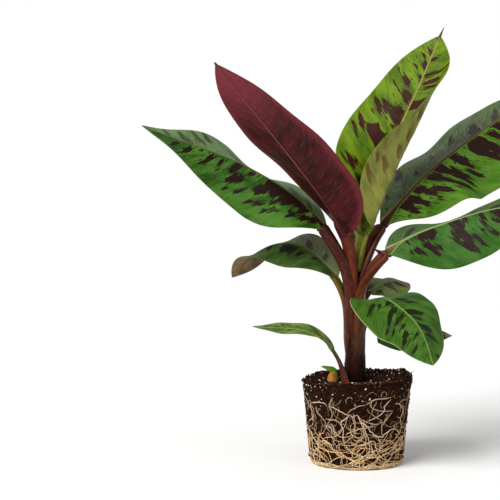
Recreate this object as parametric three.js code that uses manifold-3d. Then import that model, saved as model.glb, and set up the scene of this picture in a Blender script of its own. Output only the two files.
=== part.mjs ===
// A young blood banana plant standing on its own root ball, as it comes out of the pot: a stem of rolled
// leaf sheaths, leaves on grooved petioles, a side shoot with one narrow leaf, and the stub of a cut shoot.
// Millimetres. +Z is up, +X is to the viewer's right and +Y is away from the viewer. The origin is the centre
// of the root ball's flat underside.
import * as THREE from "three";
import { mergeVertices } from "three/addons/utils/BufferGeometryUtils.js";
import Module from "manifold-3d";

const wasm = await Module();
wasm.setup();

const CLEARANCE = 0.3; // gap that touching pieces keep

// Root ball, moulded by its pot
const BALL_TOP_RADIUS = 85;
const BALL_BOTTOM_RADIUS = 71;
const BALL_HEIGHT = 133;
const BALL_EDGE = 6; // rounding of the lower edge
const BALL_RIM = 4; // bevel of the upper edge
const BALL_DISH = 7; // how far the soil sinks from the rim to the stem
const BALL_SIDES = 48;

// Stem of rolled sheaths
const STEM_X = -3.5;
const STEM_FOOT = 112; // height of the flat cut in the soil
const STEM_SIDES = 20;
// Height and radius from the flare in the soil, up the column, to the shoulder where the petioles leave it
const STEM_PROFILE = [
  [STEM_FOOT, 21],
  [128, 19.5],
  [145, 17.8],
  [185, 17],
  [222, 17.2],
  [244, 15.5],
  [262, 12],
  [280, 8.5],
  [295, 6],
];

// Petioles
const FOOT_INSET = 0.55; // share of a petiole's depth that its foot is let into the stem
const FOOT_DEPTH = 1.15; // depth of the foot, as a share of the petiole's
const LIMB_ROWS = 9;

// Blades
const BLADE_THICKNESS = 1 / 98; // share of the blade's length
const BLADE_ROWS = 20;
const ROW_SPREAD = 1.15; // rows lie closer at the base, where the blade bends more
const PLAIN_COLUMNS = [0.36, 0.7, 1]; // shares of half the width, outside the rib
const FOLD_COLUMNS = [0.22, 0.33, 0.42, 0.52, 0.75, 1];
const RIB_DEPTH = 0.55; // how far the rib stands out below the base, as a share of the petiole's depth
const RIB_TIP_WIDTH = 3.2;
const RIB_TIP_DEPTH = 0.6;
const RIB_SHARE = 0.18; // the most that the rib takes of half the blade's width
const TIP_SHARE = 0.012; // half width of the tip, as a share of the widest half width
const VEIN_SWEEP = 0.3; // how far forward the veins run, as a share of the blade's length
const ARC_STEPS = 12; // steps across a half from midrib to edge
const RIPPLES = 2.6; // waves of the edge along the blade
const RIPPLE_SHIFT = 0.35; // how far the right edge's waves run ahead of the left edge's
const LINE_STEP = 2; // step of a leaf's line
const LINE_END = 1.1; // the line runs on past the blade's tip, as a share of its length

// Leaves, oldest first. Lengths in mm and angles in degrees.
// heading is the compass direction seen from above, 0 to the right and 90 to the back, and pitch is the rise
// above level. A list holds values that are evenly spaced from base to tip: along the petiole in its own
// pitch list, and along the blade in the others.
// foot is where the petiole leaves the stem. wrap is the petiole's width there, and width and depth are its
// section further out. widest is where the blade is widest and shoulder how wide its base is, both as shares.
// point is the power that draws the tip out, lobe how far the base runs back beside the petiole, and wave the
// ripple's height at the edge.
// roll turns the blade about its midrib, and a positive one lifts its left half. left and right say at what
// angle each half rises from the midrib's plane, beside the midrib and at the edge. fold is the stretch
// beside the midrib in which a rolled half turns over.
const LEAVES = [
  {
    name: "left_middle",
    foot: { height: 198, heading: 178 },
    petiole: { length: 92, width: 14, depth: 13, wrap: 22, pitch: [90, 88, 80, 66] },
    blade: { length: 208, width: 86, widest: 0.4, point: 2, lobe: 0, shoulder: 0.14, wave: 3 },
    heading: [164, 164, 166, 170, 176],
    pitch: [54, 36, -3, -38, -52],
    roll: [-20, -25, -20, 10, 50],
    left: { inner: [20, -14, -34, -10, 10], outer: [10, -20, -40, -10, 10] },
    right: { inner: [30, 5, -12, -20, 10], outer: [20, 10, -15, -20, 10] },
  },
  {
    name: "right_front",
    foot: { height: 190, heading: -56 },
    petiole: { length: 74, width: 10, depth: 9, wrap: 22, pitch: [90, 82, 60] },
    blade: { length: 172, width: 126, widest: 0.14, point: 3, lobe: 0, shoulder: 0.45, wave: 2 },
    heading: [-43, -52, -40, -35, -49],
    pitch: [26, -16, -33, -62, -71],
    roll: [4, 37, 33],
    left: { inner: [-1, -25, -28], outer: [-2, -36, -43] },
    right: { inner: [6, 3, 10], outer: [19, 3, 18] },
  },
  {
    name: "right_back",
    foot: { height: 202, heading: 50 },
    petiole: { length: 66, width: 10, depth: 9, wrap: 22, pitch: [90, 84, 60] },
    blade: { length: 128, width: 66, widest: 0.4, point: 2, lobe: 0, shoulder: 0.25, wave: 3 },
    heading: [58, 60, 56],
    pitch: [24, 2, -14],
    roll: [10, 20, 10],
    left: { inner: [5, -10, 0], outer: [-10, -20, 0] },
    right: { inner: [5, -20, 0], outer: [-20, -40, 0] },
  },
  {
    name: "right_lowest",
    foot: { height: 204, heading: 4 },
    petiole: { length: 38, width: 9, depth: 8, wrap: 18, pitch: [84, 56, 14] },
    blade: { length: 114, width: 88, widest: 0.3, point: 1.2, lobe: 0.14, shoulder: 0.75, wave: 2 },
    heading: [2, 4, 0],
    pitch: [-8, -16, -12],
    roll: [20, 35, 20],
    left: { inner: [-5, -35, -10], outer: [-10, -45, -10] },
    right: { inner: [-35, -38, -10], outer: [-60, -44, -10] },
  },
  {
    name: "back",
    foot: { height: 206, heading: 98 },
    petiole: { length: 140, width: 13, depth: 12, wrap: 24, pitch: [88, 82, 76] },
    blade: { length: 226, width: 94, widest: 0.44, point: 2, lobe: 0, shoulder: 0.1, wave: 4 },
    heading: [92, 90, 86],
    pitch: [66, 40, 0, -28],
    roll: [0, 5, 5],
    left: { inner: [5, -18, -5], outer: [-10, -30, -10] },
    right: { inner: [5, -18, -5], outer: [-10, -30, -10] },
  },
  {
    name: "right_lower",
    foot: { height: 216, heading: -44 },
    petiole: { length: 120, width: 20, depth: 19, wrap: 28, pitch: [90, 90, 79, 58, 50] },
    blade: { length: 300, width: 148, widest: 0.387, point: 2.2, lobe: -0.03, shoulder: 0.07, wave: 3 },
    heading: [-7, -15, -8],
    pitch: [44, 22, 17, 3, -8],
    roll: [46, 39, 30],
    left: { inner: [7, -34, -33, -12, -6], outer: [7, -38, -37, -11, -6] },
    right: { inner: [-5, -38, -21, -11, -11], outer: [-9, -44, -35, -20, -10] },
  },
  {
    name: "left_upper",
    foot: { height: 220, heading: 222 },
    petiole: { length: 154, width: 22, depth: 23, wrap: 28, pitch: [90, 88.5, 78.5, 66, 57] },
    blade: { length: 326, width: 144, widest: 0.3, point: 1.35, lobe: 0, shoulder: 0.06, wave: 3 },
    heading: [186, 187, 188],
    pitch: [56, 39, 29, 22, 19, 24],
    roll: [-20, -42, -20],
    left: { inner: [-6, -32, -30, -10, 0], outer: [-12, -40, -36, -14, 0] },
    right: { inner: [6, -14, -42, -20, -2, 0], outer: [6, -16, -48, -22, -2, 0] },
  },
  {
    name: "right_upper",
    foot: { height: 244, heading: 6 },
    petiole: { length: 128, width: 20, depth: 17, wrap: 28, pitch: [90, 86, 72, 60] },
    blade: { length: 400, width: 187, widest: 0.6, point: 2.2, lobe: -0.08, shoulder: 0.12, wave: 4 },
    heading: [46, 34, 34],
    pitch: [43, 38, 31, 29, 17],
    roll: [32, 44, 35],
    left: { inner: [-8, -31, -35, -48, -37, -35, -17], outer: [-14, -37, -39, -54, -42, -41, -17] },
    right: { inner: [6, -12, 9, -24, -20, -14, -8], outer: [-3, -17, -10, -37, -21, -21, -8] },
  },
  {
    name: "left_young",
    foot: { height: 256, heading: 236 },
    petiole: { length: 102, width: 20, depth: 17, wrap: 24, pitch: [81, 82, 81] },
    blade: { length: 344, width: 142, widest: 0.28, point: 2.2, lobe: 0, shoulder: 0.2, wave: 2 },
    heading: [225, 217, 215],
    pitch: [54, 47, 46, 46, 46],
    roll: [8, 6, 0],
    left: { inner: [16, 18, 14], outer: [20, 12, 6] },
    right: { inner: [30, 22, 8, -6, -14], outer: [40, 20, 8, -10, -16] },
  },
  {
    name: "top_young",
    foot: { at: [-1, 3, 296], heading: 30 },
    petiole: { length: 58, width: 20, depth: 18, wrap: 16, pitch: [84, 80] },
    blade: { length: 344, width: 159, widest: 0.29, point: 2.2, lobe: 0, shoulder: 0.08, wave: 2 },
    heading: [34, 34],
    pitch: [76, 61, 64],
    roll: [42, 39, 27],
    left: { inner: [84, 15, 12], outer: [103, -5, 6] },
    right: { inner: [40, -9, 3], outer: [151, 143, 101, 58, 10] },
    fold: { from: 19, to: 31 },
  },
];

// Side shoot at the stem's foot, and its one narrow leaf
const SHOOT = {
  name: "side_shoot",
  foot: { at: [-12, -25, STEM_FOOT], heading: 196 },
  petiole: { length: 71, width: 9, depth: 8, wrap: 13, pitch: [78, 76, 66] },
  blade: { length: 134, width: 40, widest: 0.4, point: 2, lobe: 0, shoulder: 0.2, wave: 1 },
  heading: [186, 184, 182],
  pitch: [54, 28, 8, 2, 8],
  roll: [-5, -20, -10],
  left: { inner: [30, 10, 0], outer: [30, 0, 0] },
  right: { inner: [30, 10, 0], outer: [30, 0, 0] },
};

// Stub of a shoot that was cut off, left of the stem: height and radius from its foot in the soil to its top
const STUB_AT = [-38, 2];
const STUB_SIDES = 10;
const STUB_PROFILE = [
  [118, 9],
  [138, 8],
  [146, 5.4],
];

const COLOURS = {
  soil: "#3a2114",
  stem: "#5a2a1c",
  petiole: "#5c2a1e",
  leaf: "#4f8a2a",
  underside: "#7a2636",
  stub: "#c9893f",
};

const DEGREE = Math.PI / 180;
const lerp = THREE.MathUtils.lerp;
const clamp = THREE.MathUtils.clamp;

// Value at t of a smooth curve through evenly spaced values.
function through(values, t) {
  const last = values.length - 1;
  const i = clamp(Math.floor(t * last), 0, last - 1);
  const u = t * last - i;
  const [b, c] = [values[i], values[i + 1]];
  const a = values[i - 1] ?? 2 * b - c;
  const d = values[i + 2] ?? 2 * c - b;
  return b + 0.5 * u * (c - a + u * (2 * a - 5 * b + 4 * c - d + u * (3 * (b - c) + d - a)));
}

// Radius of the stem at a height.
function stemRadius(height) {
  const last = STEM_PROFILE.length - 1;
  const above = STEM_PROFILE.findIndex(([z]) => z > height);
  if (above === 0) return STEM_PROFILE[0][1];
  if (above < 0) return STEM_PROFILE[last][1];
  const [z0, r0] = STEM_PROFILE[above - 1];
  const [z1, r1] = STEM_PROFILE[above];
  return lerp(r0, r1, (height - z0) / (z1 - z0));
}

// Where a leaf's line starts: let into the stem, so that its back is flush with the stem's side.
function footOf(leaf) {
  if (leaf.foot.at) return new THREE.Vector3(...leaf.foot.at);
  const reach = stemRadius(leaf.foot.height) - leaf.petiole.depth * FOOT_INSET;
  const h = leaf.foot.heading * DEGREE;
  return new THREE.Vector3(STEM_X + reach * Math.cos(h), reach * Math.sin(h), leaf.foot.height);
}

// Pitch, heading and roll at a distance d from the foot. The petiole's bend runs on into the blade's.
function anglesAt(leaf, d) {
  const { petiole, blade, heading, pitch, roll } = leaf;
  if (d < petiole.length) {
    const t = Math.max(d, 0) / petiole.length;
    const bend = [...petiole.pitch, pitch[0]];
    return [through(bend, t), lerp(leaf.foot.heading, heading[0], t), roll[0] * t];
  }
  const t = (d - petiole.length) / blade.length;
  return [through(pitch, t), through(heading, t), through(roll, t)];
}

// The frame of a leaf's line at a distance: direction, side (towards its left half) and normal (up).
function axesAt(leaf, d) {
  const [pitch, heading, roll] = anglesAt(leaf, d).map((angle) => angle * DEGREE);
  const along = new THREE.Vector3(
    Math.cos(pitch) * Math.cos(heading),
    Math.cos(pitch) * Math.sin(heading),
    Math.sin(pitch),
  );
  const side = new THREE.Vector3(-Math.sin(heading), Math.cos(heading), 0);
  side.applyAxisAngle(along, roll);
  return { along, side, normal: new THREE.Vector3().crossVectors(along, side) };
}

// The leaf's line from foot to tip, as a function from distance to a point and its axes.
function lineOf(leaf) {
  const count = Math.ceil((leaf.petiole.length + leaf.blade.length * LINE_END) / LINE_STEP);
  const points = [footOf(leaf)];
  for (let i = 0; i < count; i++) {
    const { along } = axesAt(leaf, (i + 0.5) * LINE_STEP);
    points.push(points[i].clone().addScaledVector(along, LINE_STEP));
  }
  return (d) => {
    const i = clamp(Math.floor(d / LINE_STEP), 0, count - 1);
    const at = points[i].clone().lerp(points[i + 1], d / LINE_STEP - i);
    return { at, ...axesAt(leaf, d) };
  };
}

// Half width of the blade at t, as a share of its widest: rounded behind and drawn out to a fine tip.
function outline(t, { widest, shoulder, point }) {
  const back = Math.min(t / widest, 1);
  const front = Math.max((t - widest) / (1 - widest), 0);
  const rise = shoulder + (1 - shoulder) * (1 - (1 - back) ** 2.4) ** 0.75;
  const fall = Math.max(1 - front ** point, 0) ** 0.9;
  return Math.max(rise * fall, TIP_SHARE);
}

// How far forward the veins have run at the edge, as a share of the length: backwards at a lobed base.
function sweep(t, lobe) {
  return VEIN_SWEEP * t * (1 - t) - lobe * (1 - t) ** 5;
}

// How much of the way from its inner to its outer angle a half has turned, at a share v of its reach.
// A fold turns it between two distances from the midrib, and without one it turns evenly.
function turned(v, reach, fold) {
  if (!fold) return v;
  return THREE.MathUtils.smoothstep(v * reach, fold.from, fold.to);
}

// A point of the blade's middle surface and its normal. t runs along the midrib and v across, from -1 at the
// right edge to 1 at the left edge.
function bladePoint(leaf, line, t, v) {
  const { length, width, lobe, wave } = leaf.blade;
  const across = Math.abs(v);
  const half = v < 0 ? leaf.right : leaf.left;
  const t1 = clamp(t + sweep(t, lobe) * across ** 1.5, -0.2, 1);
  const { at, side, normal } = line(leaf.petiole.length + t1 * length);
  const reach = (outline(t, leaf.blade) * width) / 2;
  const inner = through(half.inner, clamp(t1, 0, 1)) * DEGREE;
  const outer = through(half.outer, clamp(t1, 0, 1)) * DEGREE;
  const out = v < 0 ? side.clone().negate() : side;
  const fold = v < 0 ? leaf.fold : undefined;
  const stride = (reach * across) / ARC_STEPS;
  const point = at;
  let angle = inner;
  for (let i = 0; i < ARC_STEPS; i++) {
    angle = lerp(inner, outer, turned((across * (i + 0.5)) / ARC_STEPS, reach, fold));
    point.addScaledVector(out, stride * Math.cos(angle)).addScaledVector(normal, stride * Math.sin(angle));
  }
  const face = normal.clone().multiplyScalar(Math.cos(angle)).addScaledVector(out, -Math.sin(angle));
  const ripple = Math.sin((t1 * RIPPLES + (v < 0 ? RIPPLE_SHIFT : 0)) * 2 * Math.PI);
  point.addScaledVector(face, wave * across * across * ripple * Math.sin(Math.PI * clamp(t, 0, 1)));
  return { point, face };
}

// One closed mesh from a grid of upper points and a like grid of lower points.
function closedSheet(upper, lower) {
  const rows = upper.length;
  const columns = upper[0].length;
  const positions = [...upper.flat(), ...lower.flat()].flatMap((p) => [p.x, p.y, p.z]);
  const top = (i, j) => i * columns + j;
  const under = (i, j) => rows * columns + top(i, j);
  const faces = [];
  const quad = (a, b, c, d) => faces.push(a, b, c, a, c, d);
  for (let i = 0; i < rows - 1; i++) {
    for (let j = 0; j < columns - 1; j++) {
      quad(top(i, j), top(i + 1, j), top(i + 1, j + 1), top(i, j + 1));
      quad(under(i, j), under(i, j + 1), under(i + 1, j + 1), under(i + 1, j));
    }
    quad(top(i, 0), under(i, 0), under(i + 1, 0), top(i + 1, 0));
    quad(top(i, columns - 1), top(i + 1, columns - 1), under(i + 1, columns - 1), under(i, columns - 1));
  }
  for (let j = 0; j < columns - 1; j++) {
    quad(top(0, j), top(0, j + 1), under(0, j + 1), under(0, j));
    quad(top(rows - 1, j), under(rows - 1, j), under(rows - 1, j + 1), top(rows - 1, j + 1));
  }
  return geometryOf(positions, faces);
}

function geometryOf(positions, faces) {
  const geometry = new THREE.BufferGeometry();
  geometry.setAttribute("position", new THREE.Float32BufferAttribute(positions, 3));
  geometry.setIndex(faces);
  return geometry;
}

// The blade with the rib fused under it.
function bladeGeometry(leaf) {
  const line = lineOf(leaf);
  const thin = (leaf.blade.length * BLADE_THICKNESS) / 2;
  const outer = leaf.fold ? FOLD_COLUMNS : PLAIN_COLUMNS;
  const upper = [];
  const lower = [];
  for (let i = 0; i < BLADE_ROWS; i++) {
    const t = (i / (BLADE_ROWS - 1)) ** ROW_SPREAD;
    const half = (outline(t, leaf.blade) * leaf.blade.width) / 2;
    const rib = lerp(leaf.petiole.width, RIB_TIP_WIDTH, t ** 0.8) / 2;
    const ribDepth = lerp(leaf.petiole.depth * RIB_DEPTH, RIB_TIP_DEPTH, t ** 0.7);
    const edge = Math.min(rib / half, RIB_SHARE);
    const columns = [...outer.map((v) => -v).reverse(), -edge, 0, edge, ...outer];
    const above = [];
    const below = [];
    for (const v of columns) {
      const { point, face } = bladePoint(leaf, line, t, v);
      const depth = v === 0 ? thin + ribDepth : thin;
      above.push(point.clone().addScaledVector(face, thin));
      below.push(point.clone().addScaledVector(face, -depth));
    }
    upper.push(above);
    lower.push(below);
  }
  return closedSheet(upper, lower);
}

// Section of a petiole, in shares of half its width and depth: rounded below, with a groove along its upper
// side. The triangles close its two ends.
const SECTION = [
  [1, 0.15],
  [0.62, 0.42],
  [0, 0.12],
  [-0.62, 0.42],
  [-1, 0.15],
  [-0.88, -0.5],
  [-0.5, -0.9],
  [0, -1],
  [0.5, -0.9],
  [0.88, -0.5],
];
const END_FACES = [[1, 2, 7], [1, 7, 8], [1, 8, 0], [0, 8, 9], [2, 3, 7], [3, 6, 7], [3, 4, 6], [4, 5, 6]];

// A tapering limb along a leaf's line from distance d0 to d1. A margin swells it, for cutting its neighbours.
function limbGeometry(leaf, d0, d1, margin = 0) {
  const line = lineOf(leaf);
  const { length, width, depth, wrap } = leaf.petiole;
  const positions = [];
  const faces = [];
  const count = SECTION.length;
  for (let i = 0; i < LIMB_ROWS; i++) {
    const d = lerp(d0, d1, i / (LIMB_ROWS - 1));
    const t = clamp(d / length, 0, 1);
    const { at, side, normal } = line(d);
    const halfWidth = lerp(wrap, width, t ** 0.7) / 2 + margin;
    const halfDepth = lerp(depth * FOOT_DEPTH, depth, t) / 2 + margin;
    for (const [x, y] of SECTION) {
      const p = at.clone().addScaledVector(side, x * halfWidth).addScaledVector(normal, y * halfDepth);
      positions.push(p.x, p.y, p.z);
    }
  }
  const last = (LIMB_ROWS - 1) * count;
  for (let i = 0; i < last; i += count) {
    for (let j = 0; j < count; j++) {
      const a = i + j;
      const b = i + ((j + 1) % count);
      faces.push(a, b, b + count, a, b + count, a + count);
    }
  }
  for (const [a, b, c] of END_FACES) {
    faces.push(a, c, b, last + a, last + b, last + c);
  }
  return geometryOf(positions, faces);
}

// A round solid from [height, radius] pairs, stood at x and y. A margin swells it, for use as a cutter.
function turnedGeometry(profile, sides, x, y, margin = 0) {
  const points = profile.map(([z, r]) => new THREE.Vector2(r + margin, z));
  points[0].y -= margin;
  points.at(-1).y += margin;
  const closed = [new THREE.Vector2(0, points[0].y), ...points, new THREE.Vector2(0, points.at(-1).y)];
  return new THREE.LatheGeometry(closed, sides).rotateX(Math.PI / 2).translate(x, y, 0);
}

// A closed geometry as a solid.
function solidOf(geometry) {
  const bare = geometry.clone();
  for (const name of ["normal", "uv"]) bare.deleteAttribute(name);
  const merged = mergeVertices(bare, 1e-3);
  const mesh = new wasm.Mesh({
    numProp: 3,
    vertProperties: merged.attributes.position.array,
    triVerts: new Uint32Array(merged.index.array),
  });
  return new wasm.Manifold(mesh);
}

// A solid as a geometry.
function geometryFrom(solid) {
  const mesh = solid.getMesh();
  return geometryOf([...mesh.vertProperties], [...mesh.triVerts]);
}

// The largest body of a cut solid.
function mainBody(solid) {
  const bodies = solid.decompose();
  return bodies.reduce((a, b) => (b.volume() > a.volume() ? b : a));
}

// A geometry cut clear of the cutters that reach into it.
function cutClear(geometry, cutters) {
  let solid = solidOf(geometry);
  const reaching = cutters.filter((cutter) => solid.intersect(cutter).volume() > 0);
  if (reaching.length === 0) return geometry;
  for (const cutter of reaching) solid = solid.subtract(cutter);
  return geometryFrom(mainBody(solid));
}

// The root ball's outline: a rounded lower edge, the pot's slope, a bevelled rim and a dished top.
function ballProfile() {
  const points = [];
  for (const turn of [0, 30, 60, 90]) {
    const lift = BALL_EDGE * (1 - Math.cos(turn * DEGREE));
    points.push([lift, BALL_BOTTOM_RADIUS - BALL_EDGE + BALL_EDGE * Math.sin(turn * DEGREE)]);
  }
  points.push([BALL_HEIGHT - BALL_RIM, BALL_TOP_RADIUS]);
  points.push([BALL_HEIGHT, BALL_TOP_RADIUS - BALL_RIM]);
  points.push([BALL_HEIGHT - BALL_DISH * 0.6, BALL_TOP_RADIUS * 0.6]);
  points.push([BALL_HEIGHT - BALL_DISH, BALL_TOP_RADIUS * 0.3]);
  return points;
}

const plant = new THREE.Group();

function addMesh(name, geometry, color, roughness) {
  const mesh = new THREE.Mesh(geometry, new THREE.MeshStandardMaterial({ color, roughness, metalness: 0 }));
  mesh.name = name;
  plant.add(mesh);
}

// Petioles and the side shoot. The outer ones keep their form, and those further in are cut clear of them.
// A cutter stops just short of the blade that goes on from its limb.
const cutters = [];
for (const leaf of [...LEAVES, SHOOT]) {
  const end = leaf.petiole.length - CLEARANCE;
  const name = leaf === SHOOT ? leaf.name : `petiole_${leaf.name}`;
  addMesh(name, cutClear(limbGeometry(leaf, 0, end), cutters), COLOURS.petiole, 0.5);
  cutters.push(solidOf(limbGeometry(leaf, -CLEARANCE, end + CLEARANCE * 0.8, CLEARANCE)));
}

// Blades
for (const leaf of [...LEAVES, SHOOT]) {
  const colour = leaf.name === "left_young" ? COLOURS.underside : COLOURS.leaf;
  addMesh(`leaf_${leaf.name}`, cutClear(bladeGeometry(leaf), cutters), colour, 0.45);
}

// The stem, with a socket for every petiole's foot
const stem = turnedGeometry(STEM_PROFILE, STEM_SIDES, STEM_X, 0);
addMesh("stem", cutClear(stem, cutters), COLOURS.stem, 0.55);

// The stub and the root ball, with sockets for what stands in it
const ball = turnedGeometry(ballProfile(), BALL_SIDES, 0, 0);
const sockets = [
  solidOf(turnedGeometry(STEM_PROFILE, STEM_SIDES, STEM_X, 0, CLEARANCE)),
  solidOf(turnedGeometry(STUB_PROFILE, STUB_SIDES, ...STUB_AT, CLEARANCE)),
  cutters.at(-1),
];
addMesh("cut_stub", turnedGeometry(STUB_PROFILE, STUB_SIDES, ...STUB_AT), COLOURS.stub, 0.8);
addMesh("root_ball", cutClear(ball, sockets), COLOURS.soil, 0.95);

export default plant;
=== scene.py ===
"""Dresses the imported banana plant: blades with veins and blotches, grooved petioles, a stem of overlapping
sheaths, a side shoot, and a root ball of soil, white grit and roots. Metres, in the CAD model's own frame."""
import math

import bmesh
import bpy
import numpy as np
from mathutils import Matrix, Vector


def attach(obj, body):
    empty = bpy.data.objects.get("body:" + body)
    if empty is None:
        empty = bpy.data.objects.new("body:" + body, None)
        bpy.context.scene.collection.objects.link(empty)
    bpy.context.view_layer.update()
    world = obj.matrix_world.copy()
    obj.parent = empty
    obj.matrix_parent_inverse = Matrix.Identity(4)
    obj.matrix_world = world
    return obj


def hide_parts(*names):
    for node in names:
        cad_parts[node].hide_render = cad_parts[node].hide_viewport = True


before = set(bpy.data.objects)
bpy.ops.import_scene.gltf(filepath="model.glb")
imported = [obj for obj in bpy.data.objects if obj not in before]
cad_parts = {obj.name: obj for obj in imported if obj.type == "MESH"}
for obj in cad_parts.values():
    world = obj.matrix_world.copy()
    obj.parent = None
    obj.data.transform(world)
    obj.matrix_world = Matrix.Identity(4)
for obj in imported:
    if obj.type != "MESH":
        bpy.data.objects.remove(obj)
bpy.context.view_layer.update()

DEGREE = math.pi / 180

# The photograph's camera
CAMERA_AT = (0, -2.3, 0.490)
CAMERA_TARGET = (-0.166, 0, 0.3286)
LENS = 107.4

# Lights
AMBIENT = 0.45
LIGHT_TARGET = (0, 0, 0.3)
KEY_AT = (-1.5, -1.7, 2.3)
KEY_POWER = 3.2
KEY_ANGLE = 40
FILL_AT = (1.9, -1.5, 1.0)
FILL_POWER = 10
FILL_SIZE = 1.8

# Root ball
BALL_TOP_RADIUS = 0.085
BALL_BOTTOM_RADIUS = 0.071
BALL_HEIGHT = 0.133
BALL_EDGE = 0.006
BALL_RIM = 0.004
BALL_DISH = 0.007

# Stem: height and radius
STEM_X = -0.0035
STEM_PROFILE = [
    (0.112, 0.021),
    (0.128, 0.0195),
    (0.145, 0.0178),
    (0.185, 0.017),
    (0.222, 0.0172),
    (0.244, 0.0155),
    (0.262, 0.012),
    (0.280, 0.0085),
    (0.295, 0.006),
]

# Petioles and blades, as in the solids
FOOT_INSET = 0.55
FOOT_DEPTH = 1.15
RIB_DEPTH = 0.55
RIB_TIP_DEPTH = 0.0006
TIP_SHARE = 0.012
VEIN_SWEEP = 0.3
ARC_STEPS = 12
RIPPLES = 2.6
RIPPLE_SHIFT = 0.35
LINE_STEP = 0.002
LINE_END = 1.1

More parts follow.
